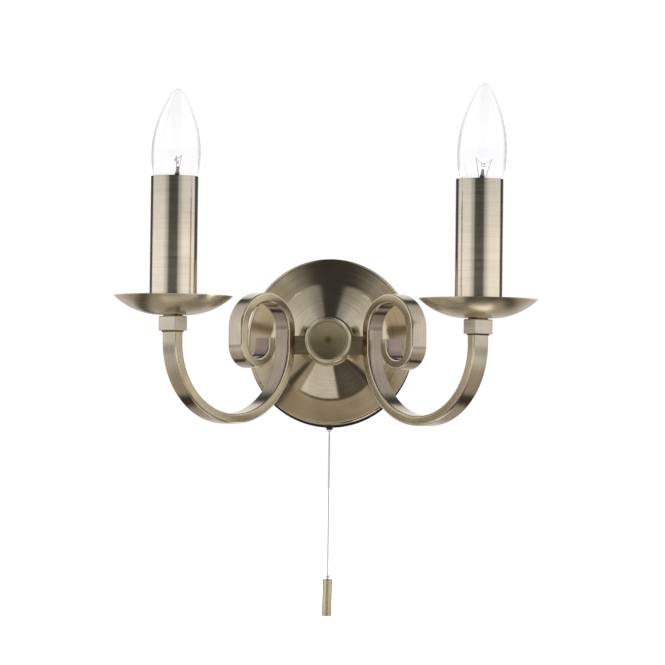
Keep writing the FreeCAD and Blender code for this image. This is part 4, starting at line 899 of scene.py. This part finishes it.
def collar_point(out, over, height, angle, centre):
    """A place on the collar, out along the bar and over across it, turned about the candle's axis."""
    return (centre.x + (out * math.cos(angle) - over * math.sin(angle)) * MM,
            centre.y + (out * math.sin(angle) + over * math.cos(angle)) * MM, height * MM)


def add_block(shape, across, along, low, high, angle, centre, slot_number):
    """A six-sided block in the shape, with the material of one slot."""
    points = [shape.verts.new(collar_point(along / 2 * x, across / 2 * y, height, angle, centre))
              for height in (low, high) for x, y in BLOCK_CORNERS]
    for face in BLOCK_FACES:
        shape.faces.new([points[index] for index in face]).material_index = slot_number


def add_neck(shape, angle, centre):
    """A low oval neck whose rings are shares of the block's width and thickness."""
    rings = [[shape.verts.new(collar_point(share * COLLAR_ALONG / 2 * math.sin(math.tau * step / GLASS_TURNS),
                                           share * COLLAR_ACROSS / 2 * math.cos(math.tau * step / GLASS_TURNS),
                                           height, angle, centre)) for step in range(GLASS_TURNS)]
             for share, height in NECK]
    for low, high in zip(rings, rings[1:]):
        for step in range(GLASS_TURNS):
            after = (step + 1) % GLASS_TURNS
            shape.faces.new([low[step], low[after], high[after], high[step]]).smooth = True


# %% Make both collars
# Painted shadow where the bar enters the collar: a thin band of dull brown metal.
painted_shadow_line = finish_grained("painted_shadow_seam", "#5B4C3A", 1.0, 0.4, 0.8)
for side, sign in SIDES:
    centre, _, _ = candle_axis(side)
    angle = -math.pi / 2 + sign * ARM_ANGLE
    shape = bmesh.new()
    add_block(shape, COLLAR_ACROSS, COLLAR_ALONG, COLLAR_BOTTOM, COLLAR_TOP, angle, centre, 0)
    bmesh.ops.bevel(shape, geom=list(shape.edges), offset=COLLAR_BEVEL, segments=3, profile=0.6, affect="EDGES")
    add_block(shape, SEAM_ACROSS, SEAM_ALONG, COLLAR_BOTTOM - SEAM_DROP, COLLAR_BOTTOM + SEAM_RISE, angle,
              centre, 1)
    add_neck(shape, angle, centre)
    mesh = bpy.data.meshes.new(f"filed_collar_{side}")
    shape.to_mesh(mesh)
    shape.free()
    collar = bpy.data.objects.new(f"filed_collar_{side}", mesh)
    bpy.context.scene.collection.objects.link(collar)
    mesh.materials.append(finishes[f"collar_{side}"])
    mesh.materials.append(painted_shadow_line)
    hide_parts(f"collar_{side}")
    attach(collar, "fixture")
print("collar block in millimetres:", COLLAR_ACROSS, COLLAR_ALONG, COLLAR_TOP - COLLAR_BOTTOM)

# %% [markdown]
# ## The cord's knot
#
# A plain overhand knot stops the cord above the toggle. A ball would pass for it from afar, but the knot is
# the cord itself, tied, and shows its turns up close. So its line runs round a trefoil, the shape that an
# overhand knot pulls into, and a short tail goes down into the toggle's bore.

# %% Tie the knot
KNOT_HEIGHT = -172.2
KNOT_SIZE = 0.55
KNOT_POINTS = 40
TAIL_HEIGHTS = (-170.6, -172.0, -174.6)
knot_low, knot_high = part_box("cord_knot")
print("room for the knot in millimetres:", [round(value / MM, 2) for value in (*knot_low, *knot_high)])
knot_line = []
for step in range(KNOT_POINTS + 1):
    turn = math.tau * step / KNOT_POINTS
    knot_line.append((KNOT_SIZE * (math.sin(turn) + 2 * math.sin(2 * turn)) * 0.5 * MM,
                      CORD_DEPTH - KNOT_SIZE * math.sin(3 * turn) * MM,
                      (KNOT_HEIGHT + KNOT_SIZE * (math.cos(turn) - 2 * math.cos(2 * turn)) * 0.5) * MM))
tail = [(0.0, CORD_DEPTH, height * MM) for height in TAIL_HEIGHTS]
knot = lay_lines("overhand_knot", [knot_line, tail], CORD_RADIUS)
knot.data.materials.append(slot_finishes["white_cord"])
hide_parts("cord_knot")
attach(knot, "hanging_cord")

# %% [markdown]
# ## The toggle
#
# The toggle is a plain turned brass rod with a small chamfer at both ends and a bore for the cord. It hangs
# from its knot a degree or so out of true, as a bored weight does. It is turned like the glass, from a
# profile that goes up its outside and down into its bore, and split at its sharp edges to keep them crisp.

# %% Turn the toggle
TOGGLE_LEAN = math.radians(1.1)
TOGGLE_RADIUS = 3.4
TOGGLE_BORE = 0.9
TOGGLE_CHAMFER = 0.35
BORE_CHAMFER = 0.4
BORE_DEPTH = 8.0
BORE_POINT = 0.5
END_GAP = 0.02
CREASE_ANGLE = math.radians(30.0)
toggle_low, toggle_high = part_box("pull_toggle")
toggle_top = toggle_high.z / MM
toggle_foot = toggle_low.z / MM
toggle_profile = [(0.0, toggle_foot + END_GAP), (TOGGLE_RADIUS - TOGGLE_CHAMFER, toggle_foot + END_GAP),
                  (TOGGLE_RADIUS, toggle_foot + TOGGLE_CHAMFER), (TOGGLE_RADIUS, toggle_top - TOGGLE_CHAMFER),
                  (TOGGLE_RADIUS - TOGGLE_CHAMFER, toggle_top - END_GAP),
                  (TOGGLE_BORE + BORE_CHAMFER, toggle_top - END_GAP), (TOGGLE_BORE, toggle_top - BORE_CHAMFER),
                  (TOGGLE_BORE, toggle_top - BORE_DEPTH), (0.0, toggle_top - BORE_DEPTH - BORE_POINT)]
toggle = turn_profile("turned_toggle", toggle_profile, Vector((0.0, CORD_DEPTH, 0.0)))
crease = toggle.modifiers.new("crisp_edges", "EDGE_SPLIT")
crease.split_angle = CREASE_ANGLE
lean(toggle, Vector((0.0, CORD_DEPTH, toggle_high.z)), TOGGLE_LEAN)
toggle.data.materials.append(finishes["pull_toggle"])
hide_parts("pull_toggle")
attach(toggle, "hanging_toggle")
print("toggle length in millimetres:", round(toggle_top - toggle_foot, 1))

# %% [markdown]
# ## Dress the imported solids
#
# Every solid of the CAD model is shown too, unless a finer piece took its place. The record names each
# solid's material, so no list has to be kept here: a piece with a brass of its own gets that one, and any
# other gets the finish of its material. The solids' meshes stay as they were packed.

# %% Give every CAD node its finish
node_slots = {row["node"]: row["material_slot"] for row in frame["record"]["subparts"]}
for node, thing in frame["nodes"].items():
    chosen = finishes[node] if node in finishes else slot_finishes[node_slots[node]]
    if not thing.data.materials:
        thing.data.materials.append(chosen)
    for number in range(len(thing.material_slots)):
        thing.material_slots[number].material = chosen
print("dressed nodes:", len(frame["nodes"]))
